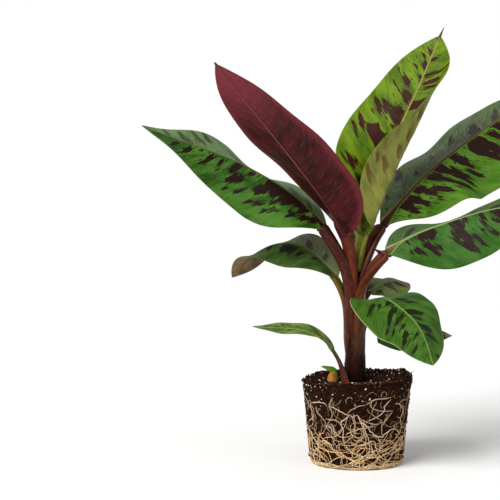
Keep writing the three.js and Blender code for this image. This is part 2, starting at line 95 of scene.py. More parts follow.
# Leaves, oldest first, by the rule that made their solids. Angles are in degrees, and a list's values are
# evenly spaced from base to tip.
LEAVES = [
    dict(
        name="left_middle", foot=dict(height=0.198, heading=178), wave=0.003,
        petiole=dict(length=0.092, width=0.014, depth=0.013, wrap=0.022, pitch=[90, 88, 80, 66]),
        blade=dict(length=0.208, width=0.086, widest=0.4, point=2, lobe=0, shoulder=0.14),
        heading=[164, 164, 166, 170, 176], pitch=[54, 36, -3, -38, -52], roll=[-20, -25, -20, 10, 50],
        left=dict(inner=[20, -14, -34, -10, 10], outer=[10, -20, -40, -10, 10]),
        right=dict(inner=[30, 5, -12, -20, 10], outer=[20, 10, -15, -20, 10]),
    ),
    dict(
        name="right_front", foot=dict(height=0.190, heading=-56), wave=0.002,
        petiole=dict(length=0.074, width=0.010, depth=0.009, wrap=0.022, pitch=[90, 82, 60]),
        blade=dict(length=0.172, width=0.126, widest=0.14, point=3, lobe=0, shoulder=0.45),
        heading=[-43, -52, -40, -35, -49], pitch=[26, -16, -33, -62, -71], roll=[4, 37, 33],
        left=dict(inner=[-1, -25, -28], outer=[-2, -36, -43]),
        right=dict(inner=[6, 3, 10], outer=[19, 3, 18]),
    ),
    dict(
        name="right_back", foot=dict(height=0.202, heading=50), wave=0.003,
        petiole=dict(length=0.066, width=0.010, depth=0.009, wrap=0.022, pitch=[90, 84, 60]),
        blade=dict(length=0.128, width=0.066, widest=0.4, point=2, lobe=0, shoulder=0.25),
        heading=[58, 60, 56], pitch=[24, 2, -14], roll=[10, 20, 10],
        left=dict(inner=[5, -10, 0], outer=[-10, -20, 0]),
        right=dict(inner=[5, -20, 0], outer=[-20, -40, 0]),
    ),
    dict(
        name="right_lowest", foot=dict(height=0.204, heading=4), wave=0.002,
        petiole=dict(length=0.038, width=0.009, depth=0.008, wrap=0.018, pitch=[84, 56, 14]),
        blade=dict(length=0.114, width=0.088, widest=0.3, point=1.2, lobe=0.14, shoulder=0.75),
        heading=[2, 4, 0], pitch=[-8, -16, -12], roll=[20, 35, 20],
        left=dict(inner=[-5, -35, -10], outer=[-10, -45, -10]),
        right=dict(inner=[-35, -38, -10], outer=[-60, -44, -10]),
    ),
    dict(
        name="back", foot=dict(height=0.206, heading=98), wave=0.004,
        petiole=dict(length=0.140, width=0.013, depth=0.012, wrap=0.024, pitch=[88, 82, 76]),
        blade=dict(length=0.226, width=0.094, widest=0.44, point=2, lobe=0, shoulder=0.1),
        heading=[92, 90, 86], pitch=[66, 40, 0, -28], roll=[0, 5, 5],
        left=dict(inner=[5, -18, -5], outer=[-10, -30, -10]),
        right=dict(inner=[5, -18, -5], outer=[-10, -30, -10]),
    ),
    dict(
        name="right_lower", foot=dict(height=0.216, heading=-44), wave=0.003,
        petiole=dict(length=0.120, width=0.020, depth=0.019, wrap=0.028, pitch=[90, 90, 79, 58, 50]),
        blade=dict(length=0.300, width=0.148, widest=0.387, point=2.2, lobe=-0.03, shoulder=0.07),
        heading=[-7, -15, -8], pitch=[44, 22, 17, 3, -8], roll=[46, 39, 30],
        left=dict(inner=[7, -34, -33, -12, -6], outer=[7, -38, -37, -11, -6]),
        right=dict(inner=[-5, -38, -21, -11, -11], outer=[-9, -44, -35, -20, -10]),
    ),
    dict(
        name="left_upper", foot=dict(height=0.220, heading=222), wave=0.003,
        petiole=dict(length=0.154, width=0.022, depth=0.023, wrap=0.028, pitch=[90, 88.5, 78.5, 66, 57]),
        blade=dict(length=0.326, width=0.144, widest=0.3, point=1.35, lobe=0, shoulder=0.06),
        heading=[186, 187, 188], pitch=[56, 39, 29, 22, 19, 24], roll=[-20, -42, -20],
        left=dict(inner=[-6, -32, -30, -10, 0], outer=[-12, -40, -36, -14, 0]),
        right=dict(inner=[6, -14, -42, -20, -2, 0], outer=[6, -16, -48, -22, -2, 0]),
    ),
    dict(
        name="right_upper", foot=dict(height=0.244, heading=6), wave=0.004,
        petiole=dict(length=0.128, width=0.020, depth=0.017, wrap=0.028, pitch=[90, 86, 72, 60]),
        blade=dict(length=0.400, width=0.187, widest=0.6, point=2.2, lobe=-0.08, shoulder=0.12),
        heading=[46, 34, 34], pitch=[43, 38, 31, 29, 17], roll=[32, 44, 35],
        left=dict(inner=[-8, -31, -35, -48, -37, -35, -17], outer=[-14, -37, -39, -54, -42, -41, -17]),
        right=dict(inner=[6, -12, 9, -24, -20, -14, -8], outer=[-3, -17, -10, -37, -21, -21, -8]),
    ),
    dict(
        name="left_young", foot=dict(height=0.256, heading=236), wave=0.002,
        petiole=dict(length=0.102, width=0.020, depth=0.017, wrap=0.024, pitch=[81, 82, 81]),
        blade=dict(length=0.344, width=0.142, widest=0.28, point=2.2, lobe=0, shoulder=0.2),
        heading=[225, 217, 215], pitch=[54, 47, 46, 46, 46], roll=[8, 6, 0],
        left=dict(inner=[16, 18, 14], outer=[20, 12, 6]),
        right=dict(inner=[30, 22, 8, -6, -14], outer=[40, 20, 8, -10, -16]),
    ),
    dict(
        name="top_young", foot=dict(at=(-0.001, 0.003, 0.296), heading=30), wave=0.002, fold=(0.019, 0.031),
        petiole=dict(length=0.058, width=0.020, depth=0.018, wrap=0.016, pitch=[84, 80]),
        blade=dict(length=0.344, width=0.159, widest=0.29, point=2.2, lobe=0, shoulder=0.08),
        heading=[34, 34], pitch=[76, 61, 64], roll=[42, 39, 27],
        left=dict(inner=[84, 15, 12], outer=[103, -5, 6]),
        right=dict(inner=[40, -9, 3], outer=[151, 143, 101, 58, 10]),
    ),
    dict(
        name="side_shoot", foot=dict(at=(-0.012, -0.025, 0.112), heading=196), wave=0.001,
        petiole=dict(length=0.071, width=0.009, depth=0.008, wrap=0.013, pitch=[78, 76, 66]),
        blade=dict(length=0.134, width=0.040, widest=0.4, point=2, lobe=0, shoulder=0.2),
        heading=[186, 184, 182], pitch=[54, 28, 8, 2, 8], roll=[-5, -20, -10],
        left=dict(inner=[30, 10, 0], outer=[30, 0, 0]),
        right=dict(inner=[30, 10, 0], outer=[30, 0, 0]),
    ),
]

# How fine the blades are, and how thick
BLADE_STEP = 0.0023
RIB_COLUMNS = 6
BLADE_THICKNESS = 0.0007
RIB_LINE_END = 0.0014
RIB_BASE_SHARE = 0.9
RIB_BASE_LENGTH = 0.13
RIB_MOST = 0.8
KEEL_SHAPE = 1.4
RED_LEAF = "left_young"
# Sets the pattern of a blade's right half apart from that of its left
RIGHT_HALF_SHIFT = 400.0
# The groove along the midrib and the ridges beside it, as shares of the rib's half width
GROOVE_DEPTH = 0.35
RIDGE_HEIGHT = 0.12
RIDGE_AT = 1.15
RIDGE_WIDTH = 0.3
PLEAT_WIDTH = 0.008
PLEAT_LENGTH = 0.06
PLEAT_HEIGHT = 0.0007


def lerp(a, b, t):
    return a + (b - a) * t


def smoothstep(x, low, high):
    t = np.clip((x - low) / (high - low), 0, 1)
    return t * t * (3 - 2 * t)


def through(values, t):
    """Value at t of a smooth curve through evenly spaced values."""
    values = np.asarray(values, float)
    last = len(values) - 1
    t = np.asarray(t, float)
    i = np.clip(np.floor(t * last).astype(int), 0, last - 1)
    u = t * last - i
    b, c = values[i], values[i + 1]
    a = np.where(i > 0, values[np.maximum(i - 1, 0)], 2 * b - c)
    d = np.where(i + 2 <= last, values[np.minimum(i + 2, last)], 2 * c - b)
    return b + 0.5 * u * (c - a + u * (2 * a - 5 * b + 4 * c - d + u * (3 * (b - c) + d - a)))


def lumps(points, size, seed):
    """Smooth noise from -1 to 1 at points, with lumps of about that size."""
    lattice = np.random.default_rng(seed).uniform(-1, 1, (32, 32, 32))
    at = np.asarray(points, float) / size + 1000
    cell = np.floor(at).astype(int)
    share = at - cell
    share = share * share * (3 - 2 * share)
    total = np.zeros(at.shape[:-1])
    for corner in np.ndindex(2, 2, 2):
        weight = np.prod(np.where(np.array(corner), share, 1 - share), axis=-1)
        x, y, z = np.moveaxis((cell + corner) % 32, -1, 0)
        total += weight * lattice[x, y, z]
    return total


# Lines and blades, by the rule that made the solids

def stem_radius(height):
    heights, radii = zip(*STEM_PROFILE)
    return np.interp(height, heights, radii)


def foot_of(leaf):
    foot = leaf["foot"]
    if "at" in foot:
        return np.array(foot["at"], float)
    reach = stem_radius(foot["height"]) - leaf["petiole"]["depth"] * FOOT_INSET
    h = foot["heading"] * DEGREE
    return np.array([STEM_X + reach * math.cos(h), reach * math.sin(h), foot["height"]])


def angles_at(leaf, d):
    """Pitch, heading and roll at distances d from the foot."""
    length = leaf["petiole"]["length"]
    t = np.clip(d / length, 0, 1)
    petiole = (
        through(leaf["petiole"]["pitch"] + leaf["pitch"][:1], t),
        lerp(leaf["foot"]["heading"], leaf["heading"][0], t),
        leaf["roll"][0] * t,
    )
    t = np.maximum(d - length, 0) / leaf["blade"]["length"]
    blade = [through(leaf[name], t) for name in ("pitch", "heading", "roll")]
    return [np.where(d < length, a, b) * DEGREE for a, b in zip(petiole, blade)]


def axes_at(leaf, d):
    """Direction, side towards the left half, and normal of a leaf's line at distances d."""
    pitch, heading, roll = angles_at(leaf, np.asarray(d, float))
    along = np.stack([np.cos(pitch) * np.cos(heading), np.cos(pitch) * np.sin(heading), np.sin(pitch)], -1)
    flat = np.stack([-np.sin(heading), np.cos(heading), 0 * heading], -1)
    up = np.cross(along, flat)
    c, s = np.cos(roll)[..., None], np.sin(roll)[..., None]
    return along, flat * c + up * s, up * c - flat * s


def line_of(leaf):
    """Points of a leaf's line from its foot on, a step apart."""
    count = math.ceil((leaf["petiole"]["length"] + leaf["blade"]["length"] * LINE_END) / LINE_STEP)
    along, _, _ = axes_at(leaf, (np.arange(count) + 0.5) * LINE_STEP)
    return np.concatenate([[foot_of(leaf)], foot_of(leaf) + np.cumsum(along * LINE_STEP, 0)])


def place_at(line, d):
    """Points of a line at distances d. Before the foot it runs on straight."""
    d = np.asarray(d, float)
    i = np.clip(np.floor(d / LINE_STEP).astype(int), 0, len(line) - 2)
    return line[i] + (line[i + 1] - line[i]) * (d / LINE_STEP - i)[..., None]


def outline(t, blade):
    """Half width of the blade at t, as a share of its widest."""
    back = np.minimum(t / blade["widest"], 1)
    front = np.maximum((t - blade["widest"]) / (1 - blade["widest"]), 0)
    rise = blade["shoulder"] + (1 - blade["shoulder"]) * (1 - (1 - back) ** 2.4) ** 0.75
    fall = np.maximum(1 - front ** blade["point"], 0) ** 0.9
    return np.maximum(rise * fall, TIP_SHARE)


def blade_surface(leaf, t, v):
    """Middle surface of a blade at t along the midrib and v across, from -1 at the right edge to 1 at the
    left. Returns points, normals, and each point's place along the midrib and distance from it."""
    blade = leaf["blade"]
    across = np.abs(v)
    sweep = VEIN_SWEEP * t * (1 - t) - blade["lobe"] * (1 - t) ** 5
    t1 = np.clip(t + sweep * across ** 1.5, -0.2, 1)
    d = leaf["petiole"]["length"] + t1 * blade["length"]
    point = place_at(line_of(leaf), d)
    _, side, normal = axes_at(leaf, d)
    reach = outline(t, blade) * blade["width"] / 2
    on = np.clip(t1, 0, 1)
    right = v < 0
    inner, outer = [
        np.where(right, through(leaf["right"][name], on), through(leaf["left"][name], on)) * DEGREE
        for name in ("inner", "outer")
    ]
    out = np.where(right, -1, 1)[..., None] * side
    stride = (reach * across / ARC_STEPS)[..., None]
    angle = inner
    for i in range(ARC_STEPS):
        share = across * (i + 0.5) / ARC_STEPS
        turned = share
        if "fold" in leaf:
            turned = np.where(right, smoothstep(share * reach, *leaf["fold"]), share)
        angle = lerp(inner, outer, turned)
        point = point + stride * (out * np.cos(angle)[..., None] + normal * np.sin(angle)[..., None])
    face = normal * np.cos(angle)[..., None] - out * np.sin(angle)[..., None]
    ripple = np.sin((t1 * RIPPLES + np.where(right, RIPPLE_SHIFT, 0)) * 2 * math.pi)
    lift = leaf["wave"] * across ** 2 * ripple * np.sin(math.pi * np.clip(t, 0, 1))
    return point + face * lift[..., None], face, t1 * blade["length"], reach * across


# Meshes

def new_object(name, vertices, faces, materials, material_of_face=None, smooth=True):
    mesh = bpy.data.meshes.new(name)
    mesh.from_pydata(vertices.reshape(-1, 3).tolist(), [], faces.tolist())
    for material in materials:
        mesh.materials.append(material)
    if material_of_face is not None:
        mesh.polygons.foreach_set("material_index", material_of_face)
    mesh.polygons.foreach_set("use_smooth", [smooth] * len(mesh.polygons))
    piece = bpy.data.objects.new(name, mesh)
    bpy.context.scene.collection.objects.link(piece)
    return piece


def set_attribute(piece, name, *numbers):
    """Three numbers for each vertex, which the materials read."""
    values = np.stack(np.broadcast_arrays(*numbers), -1).astype(np.float32)
    attribute = piece.data.attributes.new(name, "FLOAT_VECTOR", "POINT")
    attribute.data.foreach_set("vector", values.ravel())


def set_bake_map(piece, corner_uv):
    """A UV map named OFBake, which lays the piece's colours out flat."""
    layer = piece.data.uv_layers.new(name="OFBake")
    layer.data.foreach_set("uv", np.asarray(corner_uv, np.float32).ravel())


def grid_faces(rows, columns, start=0, closed=False):
    """Quads of a grid of vertices, numbered row by row. A closed one joins its last column to its first."""
    i, j = np.meshgrid(np.arange(rows - 1), np.arange(columns if closed else columns - 1), indexing="ij")
    k = (j + 1) % columns
    quads = np.stack([i * columns + j, i * columns + k, (i + 1) * columns + k, (i + 1) * columns + j], -1)
    return quads.reshape(-1, 4) + start


def capped_faces(rows, sides):
    """Faces of a grid of rings, with one face over each end."""
    last = (rows - 1) * sides
    caps = [list(range(sides))[::-1], list(range(last, last + sides))]
    return np.array(grid_faces(rows, sides, closed=True).tolist() + caps, object)


def circle(sides):
    """Angles round a ring of vertices."""
    return np.arange(sides) / sides * 2 * math.pi


def seed_of(name):
    return sum(map(ord, name))


def dress(piece, slot, *nodes):
    """Rides the piece on the plant's one body and puts it in the place of these nodes."""
    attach(piece, "root")
    if nodes:
        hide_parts(*nodes)
    return piece


# Materials

def linear(colour):
    """Linear colour from a web colour."""
    channels = [int(colour[i:i + 2], 16) / 255 for i in (1, 3, 5)]
    return [c / 12.92 if c <= 0.04045 else ((c + 0.055) / 1.055) ** 2.4 for c in channels] + [1]


class Shader:
    """A material's nodes, made by short calls. A value may be a number, a colour or another node's output."""

    def __init__(self, name):
        self.material = bpy.data.materials.new(name)
        self.material.use_nodes = True
        self.tree = self.material.node_tree
        self.surface = self.tree.nodes["Principled BSDF"]

    def node(self, kind, **settings):
        node = self.tree.nodes.new(kind)
        for name, value in settings.items():
            setattr(node, name, value)
        return node

    def put(self, socket, value):
        if isinstance(value, bpy.types.NodeSocket):
            self.tree.links.new(value, socket)
        elif isinstance(value, str):
            socket.default_value = linear(value)
        else:
            socket.default_value = value

    def math(self, operation, a, b=0.0, c=0.0):
        node = self.node("ShaderNodeMath", operation=operation)
        for socket, value in zip(node.inputs, (a, b, c)):
            self.put(socket, value)
        return node.outputs[0]

    def step(self, value, low, high, start=0.0, end=1.0):
        """Goes smoothly from start to end as value goes from low to high."""
        node = self.node("ShaderNodeMapRange", interpolation_type="SMOOTHSTEP")
        for name, number in zip(("From Min", "From Max", "To Min", "To Max"), (low, high, start, end)):
            node.inputs[name].default_value = number
        self.put(node.inputs["Value"], value)
        return node.outputs["Result"]

    def mix(self, share, a, b):
        node = self.node("ShaderNodeMix", data_type="RGBA")
        self.put(node.inputs["Factor"], share)
        first, second = [socket for socket in node.inputs if socket.type == "RGBA"]
        self.put(first, a)
        self.put(second, b)
        return next(socket for socket in node.outputs if socket.type == "RGBA")

    def layered(self, colour, *layers):
        """Lays tints over a colour. Each layer is a tint, then what step takes to give its share."""
        for tint, *course in layers:
            colour = self.mix(self.step(*course), colour, tint)
        return colour

    def attribute(self, name):
        return self.node("ShaderNodeAttribute", attribute_name=name).outputs["Vector"]

    def parts(self, vector):
        node = self.node("ShaderNodeSeparateXYZ")
        self.put(node.inputs[0], vector)
        return node.outputs

    def place(self):
        return self.node("ShaderNodeTexCoord").outputs["Object"]

    def noise(self, vector, scale, shift=(0, 0, 0), detail=2.0, roughness=0.5):
        """Noise whose scale is one number, or one for each axis."""
        mapping = self.node("ShaderNodeMapping")
        self.put(mapping.inputs["Vector"], vector)
        mapping.inputs["Scale"].default_value = scale if isinstance(scale, tuple) else (scale,) * 3
        mapping.inputs["Location"].default_value = shift
        node = self.node("ShaderNodeTexNoise")
        self.put(node.inputs["Vector"], mapping.outputs["Vector"])
        node.inputs["Scale"].default_value = 1.0
        node.inputs["Detail"].default_value = detail
        node.inputs["Roughness"].default_value = roughness
        return node.outputs["Fac"]

    def bump(self, height, distance, strength=1.0):
        node = self.node("ShaderNodeBump")
        node.inputs["Distance"].default_value = distance
        node.inputs["Strength"].default_value = strength
        self.put(node.inputs["Height"], height)
        return node.outputs["Normal"]

    def finish(self, colour, roughness, normal, gloss=0.5):
        for name, value in (("Base Color", colour), ("Roughness", roughness), ("Normal", normal)):
            self.put(self.surface.inputs[name], value)
        self.surface.inputs["Specular IOR Level"].default_value = gloss
        return self.material


# Looks of the leaves. "half_tint_and_sheen" is a cast over one half, -1 the right and 1 the left: where pale
# it is a painted sheen, as of light glancing off that half, and on right_upper a darker tint of the half's
# own. "sheen_streak" is the streaks in it, a painted sheen. "cast" is the broad tint of the underside, where
# that isn't the stain's. "dry" is where along the leaf its tip has dried. A lower "fleck_level" gives more
# flecks between the blotches.
# "rib_width" is the width of the midrib's line once clear of the petiole.
GREEN_LEAF = dict(
    green="#235a0c", light="#4b8429", blotch="#210d08", under="#5c3a30", stain="#40201c", rib="#6f6f38",
    line="#a3a866", margin="#5f7436", rib_width=0.004,
)
LOOKS = {
    "top_young": dict(
        GREEN_LEAF, green="#3f5e02", light="#6f8c0e", blotch="#361406", under="#8d9244", stain="#5e3018",
        rib="#a08a55", line="#a89858", margin="#647a20", rib_width=0.0046, cast="#6c6f2e",
        dry=(0.99, "#33341a"),
    ),
    "left_young": dict(
        GREEN_LEAF, under="#4e0d17", stain="#28060a", rib="#5a221e", line="#94564e", margin="#5a1c1c",
        rib_width=0.003, under_highlight="#8a303c",
    ),
    "left_upper": dict(
        GREEN_LEAF, green="#1c4404", light="#4a7828", blotch="#1b0c06", rib="#3c3a1a", line="#6a7038",
        rib_width=0.003, half_tint_and_sheen=(-1, "#7f9668", 0.55), fleck_level=0.6,
    ),
    "right_upper": dict(
        GREEN_LEAF, green="#407204", light="#5f8c2a", blotch="#250f07", rib="#2e1a0a", line="#7d7440",
        rib_width=0.0085, half_tint_and_sheen=(1, "#3b3a2a", 0.78), sheen_streak="#8d8790", fleck_level=0.59,
    ),
    "right_lower": dict(
        GREEN_LEAF, green="#244f0b", light="#3b671f", blotch="#1f0e0b", rib="#7d8a50", line="#8c9a60",
        rib_width=0.0042, half_tint_and_sheen=(1, "#5d6c4c", 0.5),
    ),
    "left_middle": dict(
        GREEN_LEAF, green="#224206", light="#4a652a", blotch="#1c1a0e", under="#8a7450", stain="#64483a",
        rib="#5f6a22", line="#77833c", half_tint_and_sheen=(-1, "#8c9272", 0.85),
    ),
    "right_front": dict(
        GREEN_LEAF, green="#234a07", light="#476f20", blotch="#141d08", rib="#64833a", line="#809b52",
        margin="#a8b480", rib_width=0.003,
    ),
    "right_back": dict(
        GREEN_LEAF, green="#4c6a1c", light="#84984e", blotch="#2e3014", under="#4d4a2c",
        dry=(0.74, "#8a7048"),
    ),
    "right_lowest": dict(
        GREEN_LEAF, green="#1c3e09", light="#365624", blotch="#1c2210", under="#3d3d22", dry=(0.9, "#8a7040"),
    ),
    "back": GREEN_LEAF,
    "side_shoot": dict(
        GREEN_LEAF, green="#3c6016", light="#759344", blotch="#4e5c22", under="#6f8a40", stain="#5a5c30",
        rib="#8f9a58", line="#97a460", rib_width=0.002,
    ),
}
# Distance between veins in mm, how far they sway, in radians of that, and how sharp they are
VEIN_GAP = 3.4
VEIN_SWAY = 18
VEIN_SHARPNESS = 5
FLECK_LEVEL = 0.63
LEAF_GLOSS = 0.12
LEAF_BUMP = 0.001


def leaf_shader(name, scale, seed):
    """The nodes that both faces of a leaf share: a shader, its noises and its veins."""
    s = Shader(name)
    vein = s.attribute("vein")
    noises = {
        "broad": s.noise(vein, (0.05, 0.03, 1), (seed, 0, 0), detail=3),
        "streak": s.noise(vein, (0.55 * scale, 0.045, 1), (0, seed, 3), detail=3, roughness=0.6),
        "fine": s.noise(vein, (1.7, 0.03, 1), (0, seed, 7)),
        "jag": s.noise(vein, (0.42, 0.045, 1), (seed, 0, 11), detail=3, roughness=0.6),
        "speck": s.noise(vein, (0.38, 0.1, 1), (seed, 5, 0)),
    }
    sway = s.math("MULTIPLY", noises["broad"], VEIN_SWAY)
    turn = s.math("MULTIPLY_ADD", s.parts(vein)[0], 2 * math.pi / VEIN_GAP, sway)
    noises["veins"] = s.math("POWER", s.math("MULTIPLY_ADD", s.math("SINE", turn), 0.5, 0.5), VEIN_SHARPNESS)
    return s, noises


def jagged_field(s, noise):
    """How far inside a blotch, in mm, with ragged edges, then the share of small flecks and the left half."""
    field, fleck, left = s.parts(s.attribute("mark"))
    jag = s.math("MULTIPLY", s.math("SUBTRACT", noise["jag"], 0.5), BLOTCH_JAG)
    return s.math("ADD", field, jag), fleck, left


def leaf_upper(name, look, seed):
    s, noise = leaf_shader(f"{name}_upper", 1, seed)
    along, rib, edge = s.parts(s.attribute("place"))
    field, fleck, left = jagged_field(s, noise)
    # Paler green in broad patches, and in streaks along the veins that are partly the leaf's own pale strips
    # and partly a painted sheen.
    colour = s.layered(
        look["green"],
        (look["light"], noise["broad"], 0.34, 0.64),
        (look["light"], noise["streak"], 0.45, 0.72, 0, 0.55),
        ("#0f2408", noise["fine"], 0.35, 0.65, 0.2, 0),
    )
    colour = s.mix(s.math("MULTIPLY", noise["veins"], 0.16), colour, look["light"])
    level = look.get("fleck_level", FLECK_LEVEL)
    flecks = s.math("MULTIPLY", s.step(noise["speck"], level, level + 0.02), fleck)
    mark = s.math("MAXIMUM", s.step(field, -0.25, 0.35), flecks)
    # The paler brown streaks in the blotches are a painted highlight.
    dark = s.layered(look["blotch"], ("#5f4030", noise["streak"], 0.45, 0.85, 0, 0.2))
    colour = s.mix(mark, colour, dark)
    # The cast over one half: where pale, a painted sheen as of light glancing off it; on right_upper a darker
    # tint of the half's own, with streaks of painted sheen.
    if "half_tint_and_sheen" in look:
        side, tint, strength = look["half_tint_and_sheen"]
        if "sheen_streak" in look:
            tint = s.layered(tint, (look["sheen_streak"], noise["streak"], 0.48, 0.7, 0, 0.7))
        share = s.step(left, 0, 1, *((0, strength) if side > 0 else (strength, 0)))
        share = s.math("MULTIPLY", share, s.step(mark, 0, 1, 1, 0.4))
        colour = s.mix(s.math("MULTIPLY", share, s.step(noise["streak"], 0.3, 0.6, 0.5, 1)), colour, tint)
    centre = s.layered(
        look["rib"],
        (look["line"], noise["fine"], 0.3, 0.7, 0, 0.4),
        (look["foot"], along, 0.01, 0.16, 0.9, 0),
        (look["line"], rib, 0.55, 0.85),
    )
    colour = s.layered(colour, (centre, rib, 0.92, 1.1, 1, 0), (look["margin"], edge, 0.3, 1.1, 0.8, 0))
    if "dry" in look:
        start, tint = look["dry"]
        ragged = s.math("MULTIPLY_ADD", s.math("SUBTRACT", noise["broad"], 0.5), 0.15, along)
        colour = s.layered(colour, (tint, ragged, start - 0.02, start + 0.02))
    height = s.math("ADD", s.math("MULTIPLY", noise["fine"], 0.4), noise["streak"])
    normal = s.bump(s.math("MULTIPLY_ADD", noise["veins"], 0.5, height), LEAF_BUMP, 0.7)
    return s.finish(colour, s.step(noise["streak"], 0.3, 0.7, 0.46, 0.34), normal, LEAF_GLOSS)


def leaf_lower(name, look, seed):
    s, noise = leaf_shader(f"{name}_lower", 0.9, seed)
    along, rib, edge = s.parts(s.attribute("place"))
    field, _, _ = jagged_field(s, noise)
    colour = s.layered(
        look["under"],
        (look.get("cast", look["stain"]), noise["broad"], 0.36, 0.66),
        (look["stain"], field, -0.6, 0.8, 0, 0.75),
    )
    # A painted highlight: the underside turns paler towards its tip and near its edges.
    if "under_highlight" in look:
        highlight_share = s.math("MAXIMUM", s.step(along, 0.5, 0.95, 0, 0.85), s.step(edge, 3, 18, 0.6, 0))
        colour = s.mix(highlight_share, colour, look["under_highlight"])
    colour = s.layered(
        colour,
        (look["line"], noise["streak"], 0.45, 0.8, 0, 0.3),
        ("#1c0808", noise["fine"], 0.35, 0.65, 0.22, 0),
    )
    colour = s.mix(s.math("MULTIPLY", noise["veins"], 0.2), colour, look["stain"])
    beside = s.math("MULTIPLY", s.step(rib, 0.8, 2.4, 0.6, 0), s.step(rib, 0.4, 0.9))
    colour = s.mix(beside, colour, look["stain"])
    centre = s.layered(
        look["rib"],
        (look["line"], along, 0.1, 0.5),
        (look["foot"], along, 0.01, 0.16, 0.9, 0),
    )
    colour = s.layered(colour, (centre, rib, 0.35, 0.8, 0.9, 0), (look["margin"], edge, 0.3, 1.1, 0.8, 0))
    height = s.math("ADD", s.math("MULTIPLY", noise["fine"], 0.4), s.math("MULTIPLY", noise["streak"], 0.5))
    normal = s.bump(s.math("MULTIPLY_ADD", noise["veins"], 0.6, height), LEAF_BUMP, 0.7)
    return s.finish(colour, s.step(noise["streak"], 0.3, 0.7, 0.5, 0.38), normal, LEAF_GLOSS)


# Blotches on each half of a leaf: where their vein leaves the midrib, in thousandths of its length, where
# they start and end across the half, in hundredths of it, and their breadth along the midrib in mm
BLOTCHES = {
    "top_young": {
        "left": [
            (398, 20, 60, 29), (375, 64, 88, 13), (325, 72, 93, 7), (495, 46, 72, 15), (540, 34, 58, 13),
            (545, 3, 36, 20), (585, 5, 24, 9), (500, 12, 20, 5), (705, 20, 38, 13), (655, 5, 27, 14),
            (830, 2, 14, 12), (900, 2, 12, 10), (860, 10, 22, 5), (790, 20, 30, 4), (765, 1, 8, 12),
            (700, 50, 60, 4), (640, 48, 57, 4), (640, 32, 40, 4), (460, 62, 70, 5), (210, 56, 78, 13),
            (185, 78, 92, 5), (190, 30, 52, 12), (235, 50, 62, 6),
        ],
        "right": [
            (640, 2, 60, 17), (785, 5, 60, 7), (745, 10, 40, 8), (715, 15, 45, 5), (870, 2, 15, 6),
            (220, 80, 95, 10), (245, 55, 75, 20), (150, 75, 98, 10), (500, 50, 70, 12), (420, 46, 62, 14),
            (340, 45, 60, 14),
        ],
    },
    "left_upper": {
        "left": [
            (225, 2, 33, 28), (165, 3, 22, 16), (120, 5, 30, 14), (330, 2, 24, 26), (335, 20, 50, 18),
            (285, 3, 32, 20), (505, 2, 28, 16), (455, 24, 50, 22), (430, 3, 20, 9), (625, 8, 40, 12),
            (735, 12, 40, 8), (800, 10, 30, 7), (270, 54, 66, 13), (305, 60, 72, 9), (205, 50, 62, 13),
            (220, 62, 70, 8), (135, 34, 52, 15), (390, 55, 66, 8), (440, 60, 70, 6), (245, 36, 46, 8),
            (385, 47, 56, 7), (90, 20, 40, 12), (60, 5, 30, 12), (570, 10, 30, 6),
        ],
        "right": [
            (775, 5, 35, 12), (680, 20, 50, 12), (750, 2, 20, 8), (620, 40, 70, 8), (860, 5, 30, 7),
            (500, 5, 50, 14), (400, 5, 40, 20), (300, 5, 50, 20), (200, 5, 45, 18), (120, 5, 35, 12),
        ],
    },
    "right_upper": {
        "left": [
            (225, 50, 80, 14), (390, 30, 60, 8), (620, 5, 50, 20), (500, 40, 70, 12), (740, 5, 50, 16),
            (300, 20, 40, 6), (140, 30, 50, 8),
        ],
        "right": [
            (145, 2, 32, 18), (185, 5, 38, 12), (235, 3, 38, 16), (262, 25, 57, 11), (322, 5, 58, 16),
            (375, 2, 32, 22), (400, 20, 59, 12), (375, 30, 72, 10), (335, 50, 74, 12), (440, 42, 68, 8),
            (465, 3, 45, 18), (550, 10, 62, 16), (590, 3, 77, 26), (550, 50, 70, 10), (130, 20, 36, 6),
            (175, 33, 45, 4), (210, 48, 56, 4), (225, 42, 52, 4), (300, 55, 63, 4), (660, 10, 49, 12),
            (710, 4, 57, 18), (680, 50, 70, 8), (760, 5, 44, 14), (820, 5, 51, 12), (880, 5, 38, 10),
        ],
    },
    "right_lower": {
        "left": [
            (140, 10, 50, 12), (300, 5, 45, 16), (460, 10, 50, 12), (600, 5, 40, 16), (750, 5, 35, 12),
        ],
        "right": [
            (250, 3, 22, 26), (205, 5, 25, 10), (205, 25, 62, 12), (240, 38, 52, 8), (145, 28, 45, 8),
            (155, 36, 48, 5), (115, 30, 36, 5), (135, 5, 16, 7), (400, 2, 30, 22), (382, 25, 55, 20),
            (360, 50, 85, 14), (455, 2, 16, 7), (420, 45, 75, 10), (345, 35, 65, 6), (540, 5, 22, 7),
            (520, 20, 42, 6), (485, 38, 50, 6), (620, 2, 28, 22), (585, 25, 38, 10), (520, 50, 66, 8),
            (640, 30, 45, 10), (700, 10, 40, 10), (760, 3, 30, 12), (840, 5, 30, 9),
        ],
    },
    "left_middle": {
        "left": [
            (400, 14, 45, 20), (460, 14, 40, 16), (310, 28, 50, 10), (200, 10, 30, 8), (600, 5, 30, 10),
        ],
        "right": [
            (300, 10, 50, 12), (500, 10, 45, 10), (150, 10, 40, 8),
        ],
    },
    "right_front": {
        "left": [
            (450, 5, 45, 12), (270, 30, 60, 7), (220, 20, 40, 8), (630, 5, 40, 12), (700, 10, 40, 7),
            (530, 10, 30, 6), (860, 20, 40, 6),
        ],
        "right": [
            (155, 42, 72, 9), (260, 5, 22, 8), (350, 8, 62, 9), (355, 64, 80, 5), (455, 6, 28, 5),
            (500, 26, 40, 4), (430, 30, 45, 5), (430, 52, 70, 5), (570, 32, 52, 12), (600, 45, 62, 8),
            (670, 10, 30, 4), (640, 36, 50, 4), (740, 30, 50, 5), (220, 30, 42, 6),
        ],
    },
}
HALVES = {"left": 1, "right": -1}
BLOTCH_JAG = 12.0
BLOTCH_END = 0.42
